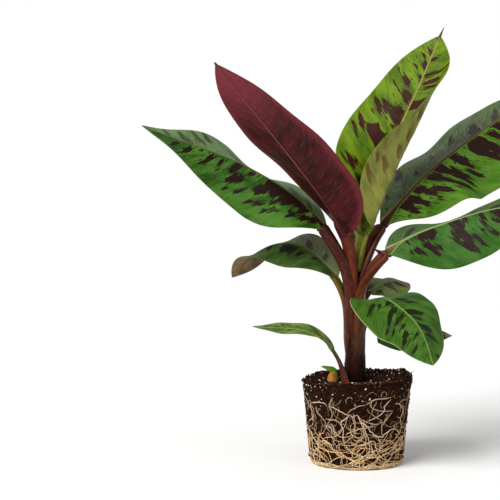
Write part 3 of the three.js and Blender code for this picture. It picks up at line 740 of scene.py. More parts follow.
BLOTCH_TAPER = 0.7
BLOTCH_SWELL = 1.0
BLOTCH_ROUND = 0.8
BLOTCH_OUTSIDE = -8.0
BLOTCH_LUMPS = 0.011
BLOTCH_BEND = 0.00025
CHANCE_BLOTCH_GAP = 0.009


def placed_blotches(halves):
    """Side, place along, start and end across as shares, and breadth in mm of the blotches above."""
    return [
        (HALVES[half], at / 1000, start / 100, end / 100, breadth)
        for half, rows in halves.items()
        for at, start, end, breadth in rows
    ]


def chance_blotches(leaf):
    """The same for a leaf that has none listed above."""
    rng = np.random.default_rng(seed_of(leaf["name"]))
    marks = []
    for _ in range(int(leaf["blade"]["length"] / CHANCE_BLOTCH_GAP)):
        start = rng.uniform(0.03, 0.35)
        side, at = rng.choice([-1, 1]), rng.uniform(0.04, 0.86)
        marks.append((side, at, start, start + rng.uniform(0.12, 0.4), rng.uniform(5, 18)))
    return marks


def blotch_field(leaf, u, w, v):
    """How far inside a blotch each point is, in mm. Negative values are outside."""
    placed = BLOTCHES.get(leaf["name"])
    marks = placed_blotches(placed) if placed else chance_blotches(leaf)
    length, half = leaf["blade"]["length"], leaf["blade"]["width"] / 2
    warp = lumps(np.stack([u, w, np.where(v < 0, 0.5, 0)], -1), BLOTCH_LUMPS, 9)
    field = np.full(u.shape, BLOTCH_OUTSIDE)
    for side, at, start, end, breadth in marks:
        taper = 1 - BLOTCH_TAPER * np.clip((w / half - start) / (end - start), 0, 1) ** 2
        beside = breadth / 2 * taper - np.abs(u - at * length + BLOTCH_BEND * breadth * warp) * 1000
        beyond = ((end - start) / 2 - np.abs(w / half - (start + end) / 2)) * half * 1000 * BLOTCH_END
        mark = np.minimum(beside, beyond) + BLOTCH_SWELL - BLOTCH_ROUND / (1 + np.abs(beside - beyond))
        field = np.maximum(field, np.where(v * side >= 0, mark, BLOTCH_OUTSIDE))
    return field


def vein_start(leaf, s, w):
    """Where along the midrib the vein through a point starts. Veins run outwards and bend towards the tip."""
    half = leaf["blade"]["width"] / 2
    q = w / half
    t = np.clip(s / leaf["blade"]["length"], 0, 1)
    return s - half * ((0.15 + 0.55 * t) * q + 0.3 * q * q)


def rib_half_width(leaf, t):
    """Half width of the midrib at t, from that of the petiole down to its line's."""
    line = lerp(LOOKS[leaf["name"]]["rib_width"], RIB_LINE_END, t) / 2
    return lerp(leaf["petiole"]["width"] * RIB_BASE_SHARE / 2, line, smoothstep(t, 0, RIB_BASE_LENGTH))


def leaf_slot(leaf):
    return "leaf_red" if leaf["name"] == RED_LEAF else "leaf_green"


def doubled(values):
    """Values for the upper and again for the lower face."""
    return np.concatenate([values.ravel(), values.ravel()])


def set_blade_map(piece, faces, rows, columns, face_count):
    """Lays the upper face beside the lower one, and the rim outside the upper one."""
    row, column = np.meshgrid(np.linspace(0.02, 0.98, rows), np.linspace(0.02, 0.46, columns), indexing="ij")
    flat = np.stack([column, row], -1).reshape(-1, 2)
    uv = np.concatenate([flat, flat + (0.52, 0)])
    corners = faces.ravel()
    corner_uv = uv[corners]
    rim = corners[2 * face_count * 4:]
    base = uv[rim % (rows * columns)]
    outwards = 0.012 * np.sign(base - np.array([0.24, 0.5]))
    corner_uv[2 * face_count * 4:] = np.where((rim >= rows * columns)[:, None], base + outwards, base)
    set_bake_map(piece, corner_uv)


def make_blade(leaf):
    blade, petiole = leaf["blade"], leaf["petiole"]
    rows = max(int(blade["length"] / BLADE_STEP), 30)
    outer = max(int(blade["width"] / 2 / BLADE_STEP), 8)
    t = (np.arange(rows) / (rows - 1))[:, None]
    half = outline(t, blade) * blade["width"] / 2
    rib_edge = np.minimum(rib_half_width(leaf, t) / half, RIB_MOST)
    inner_share = np.linspace(0, 1, RIB_COLUMNS)[None, :]
    outer_share = np.linspace(0, 1, outer + 1)[None, 1:]
    positive = np.concatenate([rib_edge * inner_share, rib_edge + (1 - rib_edge) * outer_share], 1)
    v = np.concatenate([-positive[:, :0:-1], positive], 1)
    columns = v.shape[1]
    t = np.broadcast_to(t, v.shape)
    point, face, s, w = blade_surface(leaf, t, v)
    u = vein_start(leaf, s, w)
    seed = seed_of(leaf["name"])

    rib_half = np.broadcast_to(rib_edge * half, v.shape)
    x = w / rib_half
    inside = np.clip(1 - x ** 2, 0, 1)
    pleat_at = np.stack([u / PLEAT_WIDTH, w / PLEAT_LENGTH, np.where(v < 0, 7.3, 0)], -1)
    fade = smoothstep(w, 0.001, 0.012) * smoothstep((1 - np.abs(v)) * half, 0, 0.006)
    pleats = PLEAT_HEIGHT * lumps(pleat_at, 1, seed) * fade
    ridge = RIDGE_HEIGHT * np.exp(-((x - RIDGE_AT) / RIDGE_WIDTH) ** 2)
    groove = rib_half * (ridge - GROOVE_DEPTH * inside ** 2)
    depth = np.minimum(lerp(petiole["depth"] * RIB_DEPTH, RIB_TIP_DEPTH, t ** 0.7), KEEL_SHAPE * rib_half)
    upper = point + face * (pleats + groove + BLADE_THICKNESS / 2)[..., None]
    lower = point + face * (pleats - depth * np.sqrt(inside) - BLADE_THICKNESS / 2)[..., None]

    top = grid_faces(rows, columns)[:, ::-1]
    under = grid_faces(rows, columns, v.size)
    ring = np.concatenate([
        np.arange(columns),
        np.arange(1, rows) * columns + columns - 1,
        (rows - 1) * columns + np.arange(columns - 2, -1, -1),
        np.arange(rows - 2, 0, -1) * columns,
    ])
    after = np.roll(ring, -1)
    faces = np.concatenate([top, under, np.stack([ring, after, after + v.size, ring + v.size], -1)])
    look = {**LOOKS[leaf["name"]], "foot": limb_look(leaf["name"])[2]}
    name = f"blade_{leaf['name']}"
    materials = [leaf_upper(name, look, seed % 17), leaf_lower(name, look, seed % 17)]
    lower_faces = np.zeros(len(faces), int)
    lower_faces[len(top):2 * len(top)] = 1
    piece = new_object(name, np.concatenate([upper, lower]), faces, materials, lower_faces)

    side_shift = np.where(v < 0, RIGHT_HALF_SHIFT, 0.0)
    edge = (1 - np.abs(v)) * half * 1000
    fleck = smoothstep(w / (blade["width"] / 2), 0.75, 0.3)
    left = smoothstep(v, -0.02, 0.02)
    field = blotch_field(leaf, u, w, v)
    for kind, numbers in (
        ("vein", (u * 1000, w * 1000, side_shift)),
        ("place", (t, x, edge)),
        ("mark", (field, fleck, left)),
    ):
        set_attribute(piece, kind, *map(doubled, numbers))
    set_blade_map(piece, faces, rows, columns, len(top))
    return dress(piece, leaf_slot(leaf), f"leaf_{leaf['name']}")


# Petioles

# A petiole's section, as shares of its half width and half depth, with a crest on each side of its groove
CREST_AT = (0.62, 0.42)
SECTION = [
    (1, 0.15), CREST_AT, (0, 0.12), (-0.62, 0.42), (-1, 0.15),
    (-0.88, -0.5), (-0.5, -0.9), (0, -1), (0.5, -0.9), (0.88, -0.5),
]
SECTION_SIDES = 60
LIMB_STEP = 0.0025
LIMB_INTO_STEM = 0.045
LIMB_INTO_RIB = 0.006
# How much thinner a petiole is at its end in the stem, and narrower and thinner at the one in the rib
SUNK_THINNER = 0.5
END_NARROWER = 0.35
END_THINNER = 0.45
SHOOT_SWELL = 1.4


def closed_curve(points, count):
    """Evenly spaced points of a smooth closed curve."""
    ring = np.array(points + points[:1], float)
    wrapped = np.concatenate([ring[-3:-1], ring, ring[1:3]])
    t = (np.arange(count) / count * (len(ring) - 1) + 2) / (len(wrapped) - 1)
    return np.stack([through(wrapped[:, k], t) for k in range(2)], -1)


def limb_material(name, look, seed):
    """look has the colours at the foot, halfway and at the blade, then of the crests, streaks and back."""
    s = Shader(name)
    foot, middle, end, crest_tint, streak_tint, back_tint = look
    place = s.attribute("place")
    along, crest, top = s.parts(s.attribute("limb"))
    streak = s.noise(place, (2.4, 2.4, 9), (seed, 0, 0), detail=4, roughness=0.6)
    fine = s.noise(place, (9, 9, 22), (0, seed, 0))
    colour = s.layered(
        foot,
        (middle, along, 0.0, 0.5),
        (end, along, 0.5, 1.0),
        (back_tint, top, -0.7, -0.1, 0.7, 0),
        (streak_tint, streak, 0.46, 0.75, 0, 0.7),
        ("#220a03", along, -0.6, 0.05, 0.85, 0),
        ("#1c0908", streak, 0.25, 0.46, 0.75, 0),
        (streak_tint, fine, 0.45, 0.7, 0, 0.2),
        (crest_tint, crest, 0.02, 0.16, 0.8, 0),
    )
    normal = s.bump(s.math("ADD", streak, s.math("MULTIPLY", fine, 0.5)), 0.0012, 0.6)
    return s.finish(colour, s.step(streak, 0.3, 0.7, 0.42, 0.3), normal, LIMB_GLOSS)


MAROON_LIMB = ("#260a06", "#360f0a", "#3c140e", "#7a5a38", "#562412", "#4a1e10")
LIMB_LOOKS = {
    "top_young": ("#4c4a12", "#5f6416", "#70761c", "#a8a468", "#8a7f40", "#6f6a30"),
    "side_shoot": ("#861d18", "#4a191a", "#37401a", "#6a5f3c", "#5c4a2c", "#452018"),
    "right_lower": ("#3a1208", "#4e200e", "#522214", "#6a4226", "#743e1e", "#6a3a1c"),
    "left_upper": ("#3a1106", "#330e09", "#36110a", "#705a30", "#5a2a1a", "#461a0c"),
    "left_young": ("#2e0f06", "#582110", "#4c1416", "#753a1e", "#733618", "#5c2410"),
    "left_middle": ("#452010", "#553414", "#5a5418", "#8f8a4c", "#6f4820", "#643c22"),
    "right_front": ("#35140a", "#44240c", "#486020", "#8a9a5c", "#624828", "#502c16"),
}
LIMB_GLOSS = 0.13


def limb_look(name):
    return LIMB_LOOKS.get(name, MAROON_LIMB)


def make_limb(leaf):
    """The petiole, from inside the stem to inside the blade's rib."""
    name = leaf["name"]
    is_shoot = name == "side_shoot"
    petiole = leaf["petiole"]
    length = petiole["length"]
    into_stem = 0.0 if "at" in leaf["foot"] else LIMB_INTO_STEM
    rows = max(int((length + into_stem + LIMB_INTO_RIB) / LIMB_STEP), 12)
    d = np.linspace(-into_stem, length + LIMB_INTO_RIB, rows)
    t = np.clip(d / length, 0, 1)
    line = line_of(leaf)
    at = place_at(line, d)
    _, side, normal = axes_at(leaf, np.clip(d, 0, None))
    section = closed_curve(SECTION, SECTION_SIDES)
    half_width = lerp(petiole["wrap"], petiole["width"], t ** 0.7) / 2
    half_depth = lerp(petiole["depth"] * FOOT_DEPTH, petiole["depth"], t) / 2
    if is_shoot:
        swell = 1 + SHOOT_SWELL * (1 - t) ** 2
        half_width, half_depth = half_width * swell, half_depth * swell
    sunk = smoothstep(-d, 0, into_stem) if into_stem else 0 * d
    half_depth = half_depth * (1 - SUNK_THINNER * sunk)
    end = smoothstep(d, length, length + LIMB_INTO_RIB)
    half_width, half_depth = half_width * (1 - END_NARROWER * end), half_depth * (1 - END_THINNER * end)
    vertices = (at[:, None] + side[:, None] * (section[None, :, :1] * half_width[:, None, None])
                + normal[:, None] * (section[None, :, 1:] * half_depth[:, None, None]))
    material = limb_material(f"limb_{name}_skin", limb_look(name), seed_of(name) % 13)
    piece = new_object(f"limb_{name}", vertices, capped_faces(rows, SECTION_SIDES), [material])
    angle = circle(SECTION_SIDES)
    crest = np.abs(np.abs(section[:, 0]) - CREST_AT[0]) + 0.6 * np.abs(section[:, 1] - CREST_AT[1])
    along = np.where(d < 0, d / max(into_stem, LIMB_STEP), t)
    set_attribute(piece, "place", np.cos(angle), np.sin(angle), (d * 10)[:, None])
    set_attribute(piece, "limb", along[:, None], crest, section[:, 1])
    if is_shoot:
        return dress(piece, "side_shoot", "side_shoot")
    return dress(piece, "petiole", f"petiole_{name}")


# Spikes: thin dried points at the tips of leaves, a collar and a twig

# Length of a tip's point in m, and how far it rises and runs right as shares of that
TIP_POINTS = {"top_young": (0.0105, 0.5, 0.3), "left_young": (0.006, -0.3, 0.2)}
TIP_OVERLAP = 0.003
TIP_RADIUS = 0.0026
# The collar is the dried end of the sheath that sticks out where a petiole meets its blade
COLLAR_LEAF = "right_lower"
COLLAR_REACH = (-0.0118, -0.002, 0.006)
COLLAR_LIFT = 0.002
COLLAR_RADIUS = 0.0038
# Ends of a bit of root that pokes out of the soil's rim at the right
TWIG_FOOT = (0.069, -0.02, 0.134)
TWIG_TIP = (0.088, -0.026, 0.147)
TWIG_RADIUS = 0.0012
SPIKE_STEPS = np.linspace(0, 1, 12)[:, None]
SPIKE_SIDES = 8
SPIKE_END_RADIUS = 0.0003


def spike(name, path, radius, tints):
    vertices, faces = tubes(path[None], np.linspace(radius, SPIKE_END_RADIUS, len(path))[None], SPIKE_SIDES)
    return new_object(name, vertices, faces, [grain_material(f"{name}_skin", *tints, 900)])


def make_tip_point(leaf, length, rise, right):
    end = leaf["petiole"]["length"] + leaf["blade"]["length"]
    start, tip = place_at(line_of(leaf), np.array([end - TIP_OVERLAP, end]))
    t = SPIKE_STEPS
    bend = np.array([right, 0, rise]) * length * t ** 2
    path = start + unit(tip - start) * (length + TIP_OVERLAP) * t + bend
    piece = spike(f"tip_{leaf['name']}", path, TIP_RADIUS, ("#4c4f1e", "#2c1c0e"))
    return dress(piece, leaf_slot(leaf), f"leaf_{leaf['name']}")


def make_collar(leaf):
    t = SPIKE_STEPS
    end = np.array([leaf["petiole"]["length"]])
    _, _, normal = axes_at(leaf, end)
    start = place_at(line_of(leaf), end)[0] + normal[0] * leaf["petiole"]["depth"] * 0.4
    path = start + np.array(COLLAR_REACH) * t + (0, 0, COLLAR_LIFT) * t ** 3
    piece = spike(f"collar_{leaf['name']}", path, COLLAR_RADIUS, ("#3a1512", "#1c0a08"))
    return dress(piece, "petiole", f"petiole_{leaf['name']}")


def make_twig():
    t = SPIKE_STEPS
    twig = lerp(np.array(TWIG_FOOT), np.array(TWIG_TIP), t) + lumps(t * (1, 2, 3), 0.3, 4)[:, None] * 0.0004
    return dress(spike("twig", twig, TWIG_RADIUS, ("#4a2a14", "#24120a")), "root_ball", "root_ball")


# Stem of sheaths

STEM_SIDES = 200
STEM_ROWS = 220
STEM_SKIN = 0.0002
STEM_RIBS = 0.0003
# Thickness of a sheath, how far round it reaches low down, in radians, and the height over which it opens
SHEATH = 0.0007
SHEATH_REACH = 2.7
SHEATH_OPENING = 0.085
# Above its leaf's foot, the height from which a sheath widens downwards, and those between which it ends
SHEATH_MOUTH = 0.012
SHEATH_END = (0.014, 0.008)
# How far its margins sway, in radians, and how fast with height
SHEATH_SWAY = 0.05
SHEATH_WAVES = 190
# Heights over which the stem's darker foot ends all round, and over which the painted shade on its right
# side, away from the key light, ends
STEM_DARK = (0.122, 0.162)
STEM_RIGHT_SHADE = (0.17, 0.2)
STEM_GLOSS = 0.07


def sheath_material():
    s = Shader("sheath_skin")
    place = s.attribute("place")
    margin, tint, height = s.parts(s.attribute("sheath"))
    streak = s.noise(place, (3.4, 3.4, 0.7), detail=4, roughness=0.6)
    stripe = s.noise(place, (8, 8, 0.3), (3, 0, 0), detail=2)
    fine = s.noise(place, (26, 26, 2), (0, 3, 0))
    colour = s.layered(
        s.mix(tint, "#150401", "#280c02"),
        ("#451a03", streak, 0.48, 0.7, 0, 0.8),
        ("#4a2408", stripe, 0.54, 0.7, 0, 0.5),
        ("#0d0302", stripe, 0.3, 0.46, 0.85, 0),
        ("#552c12", fine, 0.5, 0.7, 0, 0.2),
        ("#0a0302", height, *STEM_DARK, 0.9, 0),
    )
    # Painted shade: low down, the stem's right side, away from the key light, is darkened.
    low = s.step(height, *STEM_RIGHT_SHADE, 1, 0.2)
    right = s.math("MULTIPLY", s.step(s.parts(place)[0], 0.1, 0.8, 0, 0.75), low)
    colour = s.layered(s.mix(right, colour, "#0c0504"), ("#6f4c34", margin, 0.1, 0.8, 0.7, 0))
    normal = s.bump(s.math("ADD", streak, s.math("MULTIPLY", fine, 0.4)), 0.0012, 0.6)
    return s.finish(colour, s.step(streak, 0.3, 0.7, 0.5, 0.4), normal, STEM_GLOSS)


def make_stem():
    height = np.linspace(STEM_PROFILE[0][0], STEM_PROFILE[-1][0], STEM_ROWS)
    z, a = np.meshgrid(height, circle(STEM_SIDES), indexing="ij")
    radius = stem_radius(z) + STEM_SKIN
    tint = np.full(z.shape, 0.5)
    margin = np.full(z.shape, 9.0)
    sheaths = [leaf for leaf in LEAVES if "at" not in leaf["foot"]]
    for k, leaf in enumerate(sorted(sheaths, key=lambda leaf: -leaf["foot"]["height"])):
        foot = leaf["foot"]
        away = (a - foot["heading"] * DEGREE + math.pi) % (2 * math.pi) - math.pi
        narrow = leaf["petiole"]["wrap"] / 2 / stem_radius(foot["height"])
        opened = smoothstep(foot["height"] + SHEATH_MOUTH - z, 0, SHEATH_OPENING)
        span = lerp(narrow * 0.8, SHEATH_REACH, opened) + SHEATH_SWAY * np.sin(z * SHEATH_WAVES + k)
        inside = (span - np.abs(away)) * radius
        below = smoothstep(z, *(foot["height"] + np.array(SHEATH_END)))
        there = smoothstep(inside, -0.0002, 0.0004) * below
        radius = radius - (1 - there) * SHEATH
        shown = there > 0.5
        tint = np.where(shown, (k * 0.37) % 1, tint)
        margin = np.where(shown, inside * 1000, margin)
    ribs = lumps(np.stack([np.cos(a) * 12, np.sin(a) * 12, z / 0.05], -1), 1, 5)
    radius = radius + STEM_RIBS * ribs
    vertices = np.stack([STEM_X + radius * np.cos(a), radius * np.sin(a), z], -1)
    piece = new_object("sheaths", vertices, capped_faces(STEM_ROWS, STEM_SIDES), [sheath_material()])
    set_attribute(piece, "place", np.cos(a), np.sin(a), z * 10)
    set_attribute(piece, "sheath", margin, tint, z)
    return dress(piece, "stem", "stem")


# Stub of a cut shoot

STUB_X = -0.037
STUB_Y = 0.002
STUB_SIDES = 24
# Height and radius of the lump
STUB_LUMP = np.array([
    (0.118, 0.0085), (0.13, 0.0086), (0.134, 0.0074), (0.137, 0.0058), (0.139, 0.0035), (0.1396, 0.0006),
])
# Middle line and half width of the flap
STUB_FLAP = np.array([
    (-0.029, 0.004, 0.137, 0.003), (-0.033, 0.003, 0.1405, 0.0048), (-0.038, 0.002, 0.143, 0.0052),
    (-0.043, 0.001, 0.1445, 0.0042), (-0.048, 0.000, 0.1462, 0.0032), (-0.0525, 0.000, 0.1478, 0.002),
    (-0.055, 0.000, 0.1478, 0.0006),
])


def make_stub():
    """A pale lump left from a cut shoot, and the green flap of sheath that leans from the stem over it."""
    angle = circle(STUB_SIDES)

    def lump(name, tints, centres, across, outward, half_widths, half_depths):
        s = Shader(f"{name}_skin")
        patch = s.noise(s.place(), 90, detail=4)
        colour = s.layered(tints[0], (tints[1], patch, 0.35, 0.6), (tints[2], patch, 0.56, 0.7, 0, 0.7))
        material = s.finish(colour, 0.6, s.bump(patch, 0.0015), LIMB_GLOSS)
        wide = unit(np.array(across, float)) * half_widths[:, None, None]
        deep = unit(np.array(outward, float)) * half_depths[:, None, None]
        ring = np.cos(angle)[:, None] * wide + np.sin(angle)[:, None] * deep
        points = np.array(centres)[:, None] + ring
        points = points + (lumps(points, 0.005, 3) * 0.0004)[..., None]
        piece = new_object(name, points, capped_faces(len(centres), STUB_SIDES), [material])
        return dress(piece, "cut_stub", "cut_stub")

    heights, radii = STUB_LUMP.T
    middle = [(STUB_X, STUB_Y, z) for z in heights]
    lump("stub", ("#d89a48", "#b87c34", "#7c4a20"), middle, (1, 0, 0), (0, 1, 0), radii, radii * 0.9)
    half = STUB_FLAP[:, 3]
    lump("stub_flap", ("#4c8a14", "#7fa82a", "#4a3c14"), STUB_FLAP[:, :3], (0.15, 0.5, 0.85), (0, -0.85, 0.5),
         half, half * 0.16 + 0.0004)


# Root ball

BALL_SIDES = 400
BALL_STEP = 0.0014
SOIL_INSET = 0.0006
# Height, size and seed of the soil's lumps
SOIL_LUMPS = ((0.0012, 0.012, 1), (0.0008, 0.005, 2))
# Height and size of those round the rim, and the height on the ball from which they set in
RIM_LUMP_HEIGHT = 0.0025
RIM_LUMP_SIZE = 0.028
RIM_LUMPS_FROM = 0.11
GRAIN_HEIGHT = 0.0007
GRAIN_SIZE = 0.0024
# Heights between which lumps and grain fade away above the flat underside
FADE = (-0.001, 0.004)
# Nothing that clings to the ball's side is laid above this
FLANK_TOP = 0.128
# How steeply the top rises to the right, and the heights between which that sets in
TOP_TILT = 0.045
TILT_SETS_IN = (0.08, 0.13)
# Place, reach and rise of the large clods on the top
CLODS = [
    ((0.062, 0.03, 0.133), 0.014, 0.007),
    ((0.074, -0.012, 0.133), 0.008, 0.004),
    ((-0.05, 0.05, 0.133), 0.012, 0.003),
]
TOP_CORNERS = [
    (BALL_TOP_RADIUS - BALL_RIM, BALL_HEIGHT),
    (BALL_TOP_RADIUS * 0.6, BALL_HEIGHT - BALL_DISH * 0.6),
    (BALL_TOP_RADIUS * 0.3, BALL_HEIGHT - BALL_DISH),
    (0.0, BALL_HEIGHT - BALL_DISH),
]


def side_radius(z):
    """Radius of the ball's side at a height, drawn in on its rounded lower edge."""
    below = BALL_EDGE - np.minimum(z, BALL_EDGE)
    edge = BALL_EDGE - np.sqrt(BALL_EDGE ** 2 - below ** 2)
    return lerp(BALL_BOTTOM_RADIUS, BALL_TOP_RADIUS, z / BALL_HEIGHT) - edge


def soil_lift(at):
    """How far the soil stands out from the ball's plain form, without its grain."""
    z = at[..., 2]
    lift = sum(height * lumps(at, size, seed) for height, size, seed in SOIL_LUMPS) - SOIL_INSET
    lift = lift + smoothstep(z, RIM_LUMPS_FROM, FLANK_TOP) * RIM_LUMP_HEIGHT * lumps(at, RIM_LUMP_SIZE, 4)
    for centre, reach, rise in CLODS:
        lift = lift + rise * np.exp(-((at - np.array(centre)) ** 2).sum(-1) / (2 * reach ** 2))
    return lift * smoothstep(z, *FADE)


def tilted(at):
    """The same points, with those of the ball's upper part raised at the right and lowered at the left."""
    rise = TOP_TILT * at[..., 0] * smoothstep(at[..., 2], *TILT_SETS_IN)
    return at + np.stack([0 * rise, 0 * rise, rise], -1)


def ball_profile():
    """Radius and height from the underside's middle round to the top's, a step apart."""
    side = np.linspace(0, BALL_HEIGHT - BALL_RIM, 40)
    corners = np.concatenate([[(0.0, 0.0)], np.stack([side_radius(side), side], -1), TOP_CORNERS])
    run = np.concatenate([[0], np.cumsum(np.linalg.norm(np.diff(corners, axis=0), axis=1))])
    at = np.linspace(0, run[-1], int(run[-1] / BALL_STEP))[1:-1]
    return np.interp(at, run, corners[:, 0]), np.interp(at, run, corners[:, 1])


def soil_material():
    s = Shader("soil")
    place = s.place()
    grain = s.noise(place, 620, detail=3, roughness=0.6)
    clod = s.noise(place, 150, detail=3, roughness=0.6)
    fibre = s.noise(place, (1500, 400, 900))
    colour = s.layered(
        "#120501",
        ("#381a08", grain, 0.38, 0.7),
        ("#080301", clod, 0.36, 0.6, 0.75, 0),
        ("#6a3a18", fibre, 0.64, 0.72, 0, 0.6),
    )
    return s.finish(colour, 0.92, s.bump(s.math("ADD", grain, clod), 0.002, 1.0), 0.08)


def make_soil():
    radius, height = ball_profile()
    angle = circle(BALL_SIDES)
    r, a = np.meshgrid(radius, angle, indexing="ij")
    z = np.broadcast_to(height[:, None], r.shape)
    at = np.stack([r * np.cos(a), r * np.sin(a), z], -1)
    slope = np.gradient(np.stack([radius, height], -1), axis=0)
    out, up = unit(np.stack([slope[:, 1], -slope[:, 0]], -1)).T[..., None]
    normal = np.stack(np.broadcast_arrays(out * np.cos(angle), out * np.sin(angle), up), -1)
    grain = GRAIN_HEIGHT * lumps(at, GRAIN_SIZE, 3) * smoothstep(z, *FADE)
    vertices = tilted(at + normal * (soil_lift(at) + grain)[..., None])
    vertices[..., 2] = np.maximum(vertices[..., 2], 0)
    piece = new_object("soil_ball", vertices, capped_faces(len(radius), BALL_SIDES), [soil_material()])
    return dress(piece, "root_ball", "root_ball")


# Roots on the ball's side

# The thick roots at the front, as places across and heights in mm
FRONT_ROOTS = [
    [(1, 87), (-5, 84), (-4, 76), (-2, 65), (-5, 56), (-11, 49), (-18, 43), (-28, 38), (-31, 30)],
    [(1, 87), (4, 81), (8, 71), (13, 61), (18, 50), (20, 40), (20, 31), (17, 22), (14, 18)],
    [(-36, 113), (-41, 102), (-37, 91), (-37, 82), (-43, 71), (-47, 61), (-55, 49), (-59, 40), (-51, 31),
     (-50, 23), (-54, 14)],
    [(-70, 99), (-69, 89), (-67, 77), (-67, 65), (-72, 56), (-66, 44)],
    [(-70, 99), (-60, 102), (-51, 103), (-44, 98)],
    [(-62, 96), (-60, 87), (-53, 78), (-48, 74), (-45, 65)],
    [(-40, 100), (-28, 93), (-16, 87), (-10, 86), (-5, 82)],
    [(-10, 86), (-16, 80), (-22, 76), (-22, 70), (-20, 61), (-20, 49), (-18, 42)],
    [(-15, 89), (-5, 96), (4, 101), (14, 102), (22, 108)],
    [(53, 110), (27, 109), (21, 103), (26, 95), (41, 91), (56, 90)],
    [(52, 107), (44, 100), (41, 91), (35, 85), (27, 81), (14, 77)],
    [(56, 90), (47, 80), (39, 70), (38, 59), (41, 50)],
    [(3, 82), (14, 76), (26, 72), (33, 72), (40, 75)],
    [(4, 79), (15, 69), (23, 59), (31, 52), (35, 43), (35, 30), (35, 19)],
    [(-45, 57), (-38, 50), (-30, 45), (-20, 44)],
    [(-17, 56), (0, 64), (14, 66), (27, 69)],
    [(23, 55), (39, 52), (50, 61), (60, 60), (66, 50)],
    [(-51, 28), (-37, 27), (-23, 26), (-13, 20), (-4, 15), (10, 12)],
    [(-17, 40), (-9, 30), (2, 25), (12, 22), (30, 20), (47, 24)],
    [(17, 21), (32, 25), (46, 30), (60, 36), (66, 40)],
    [(-10, 9), (2, 15), (14, 21), (24, 27)],
    [(-8, 7), (4, 13), (16, 18), (30, 22)],
    [(-13, 10), (0, 17), (12, 23), (20, 30)],
    [(-48, 77), (-32, 77), (-23, 74)],
    [(59, 101), (66, 97), (70, 86), (66, 75), (68, 62), (62, 48)],
]
ROOT_STEP = 0.002
LOWEST_ROOT = 0.0012
# How much of its turning a root keeps at each step, and how hard it turns back beyond its heights
TURN_KEPT = 0.8
TURN_BACK = 0.35
# Radius of a strand's end as a share of its full one, and what each further ring adds
STRAND_END = 0.15
STRAND_SWELL = 0.45
# Front roots below this height are gold, the others pale
GOLD_BELOW = 0.045
ROOT_TINTS = {
    "pale": ["#cdae8e", "#dcc4a6", "#b6977a"],
    "gold": ["#e8c48e", "#f4d8aa", "#cda272", "#deb988"],
    "hair": ["#6a4224", "#7f5632"],
}


def unit(vectors):
    return vectors / np.maximum(np.linalg.norm(vectors, axis=-1, keepdims=True), 1e-9)


def on_side(angle, z, out):
    """Points on the soil's side, that far out from it."""
    away = np.stack([np.cos(angle), np.sin(angle), 0 * z], -1)
    at = away * side_radius(z)[..., None] + np.stack([0 * z, 0 * z, z], -1)
    return tilted(at + away * (soil_lift(at) + out)[..., None])


def wander(rng, angle, z, course, steps, stride, low, high, bend):
    """Angles and heights along paths on the ball's side that turn slowly and keep between two heights.
    A course of 0 runs level and one of -pi/2 straight down."""
    turning = rng.normal(0, bend, len(angle))
    angles, heights = [angle], [z]
    for _ in range(steps - 1):
        turning = TURN_KEPT * turning + rng.normal(0, bend, len(angle))
        course = course + turning
        back = TURN_BACK * np.sign(np.cos(course))
        course = course + np.where((z < low) & (np.sin(course) < 0.1), back, 0)
        course = course - np.where((z > high) & (np.sin(course) > -0.1), back, 0)
        angle = angle + stride * np.cos(course) / side_radius(z)
        z = np.clip(z + stride * np.sin(course), LOWEST_ROOT, FLANK_TOP)
        angles.append(angle)
        heights.append(z)
    return np.stack(angles, -1), np.stack(heights, -1)


def tubes(path, radius, sides):
    """Vertices and faces of round strands, a path each, pinched at both ends."""
    along = unit(np.gradient(path, axis=1))
    side = unit(np.cross(along, unit(path * (1, 1, 0))))
    up = np.cross(side, along)
    turn = circle(sides)[:, None]
    ring = side[:, :, None] * np.cos(turn) + up[:, :, None] * np.sin(turn)
    strands, points = path.shape[:2]
    ends = np.minimum(np.arange(points), np.arange(points)[::-1])
    radius = radius * np.clip(STRAND_END + ends * STRAND_SWELL, 0, 1)
    vertices = path[:, :, None] + ring * radius[..., None, None]
    one = grid_faces(points, sides, closed=True)
    faces = one[None] + (np.arange(strands) * points * sides)[:, None, None]
    return vertices.reshape(-1, 3), faces.reshape(-1, 4)


def grain_material(name, colour, dark, size, roughness=0.6):
    """A plain colour with small darker places, which may fall anywhere."""
    s = Shader(name)
    spot = s.noise(s.place(), size, detail=3)
    tint = s.layered(colour, (dark, spot, 0.35, 0.65, 0.6, 0))
    return s.finish(tint, roughness, s.bump(spot, 0.0006, 0.6), 0.12)


def joined(name, kind, parts, tints, smooth=True):
    """One piece from several (vertices, faces), whose tints are dealt out in turn."""
    materials = [grain_material(f"{kind}_{k}", *tint) for k, tint in enumerate(tints)]
    vertices, faces, indices, start = [], [], [], 0
    for k, (points, polygons) in enumerate(parts):
        vertices.append(points)
        faces.append(polygons + start)
        indices.append(np.full(len(polygons), k % len(tints)))
        start += len(points)
    vertices, faces, indices = map(np.concatenate, (vertices, faces, indices))
    return dress(new_object(name, vertices, faces, materials, indices, smooth), "root_ball", "root_ball")


def deal(path, radius, sides, hands):
    """Strands dealt into as many joined parts as there are tints."""
    return [tubes(path[k::hands], radius[k::hands], sides) for k in range(hands)]


def weave(rng, angle, z, radius, lift):
    """Paths over the side that pass over and under one another."""
    swell = lumps(np.stack([angle * 60, z * 600, 0 * z + rng.uniform(0, 30, (len(z), 1))], -1), 6, 8)
    return on_side(angle, z, radius * 0.5 + lift * (0.5 + 0.5 * swell))


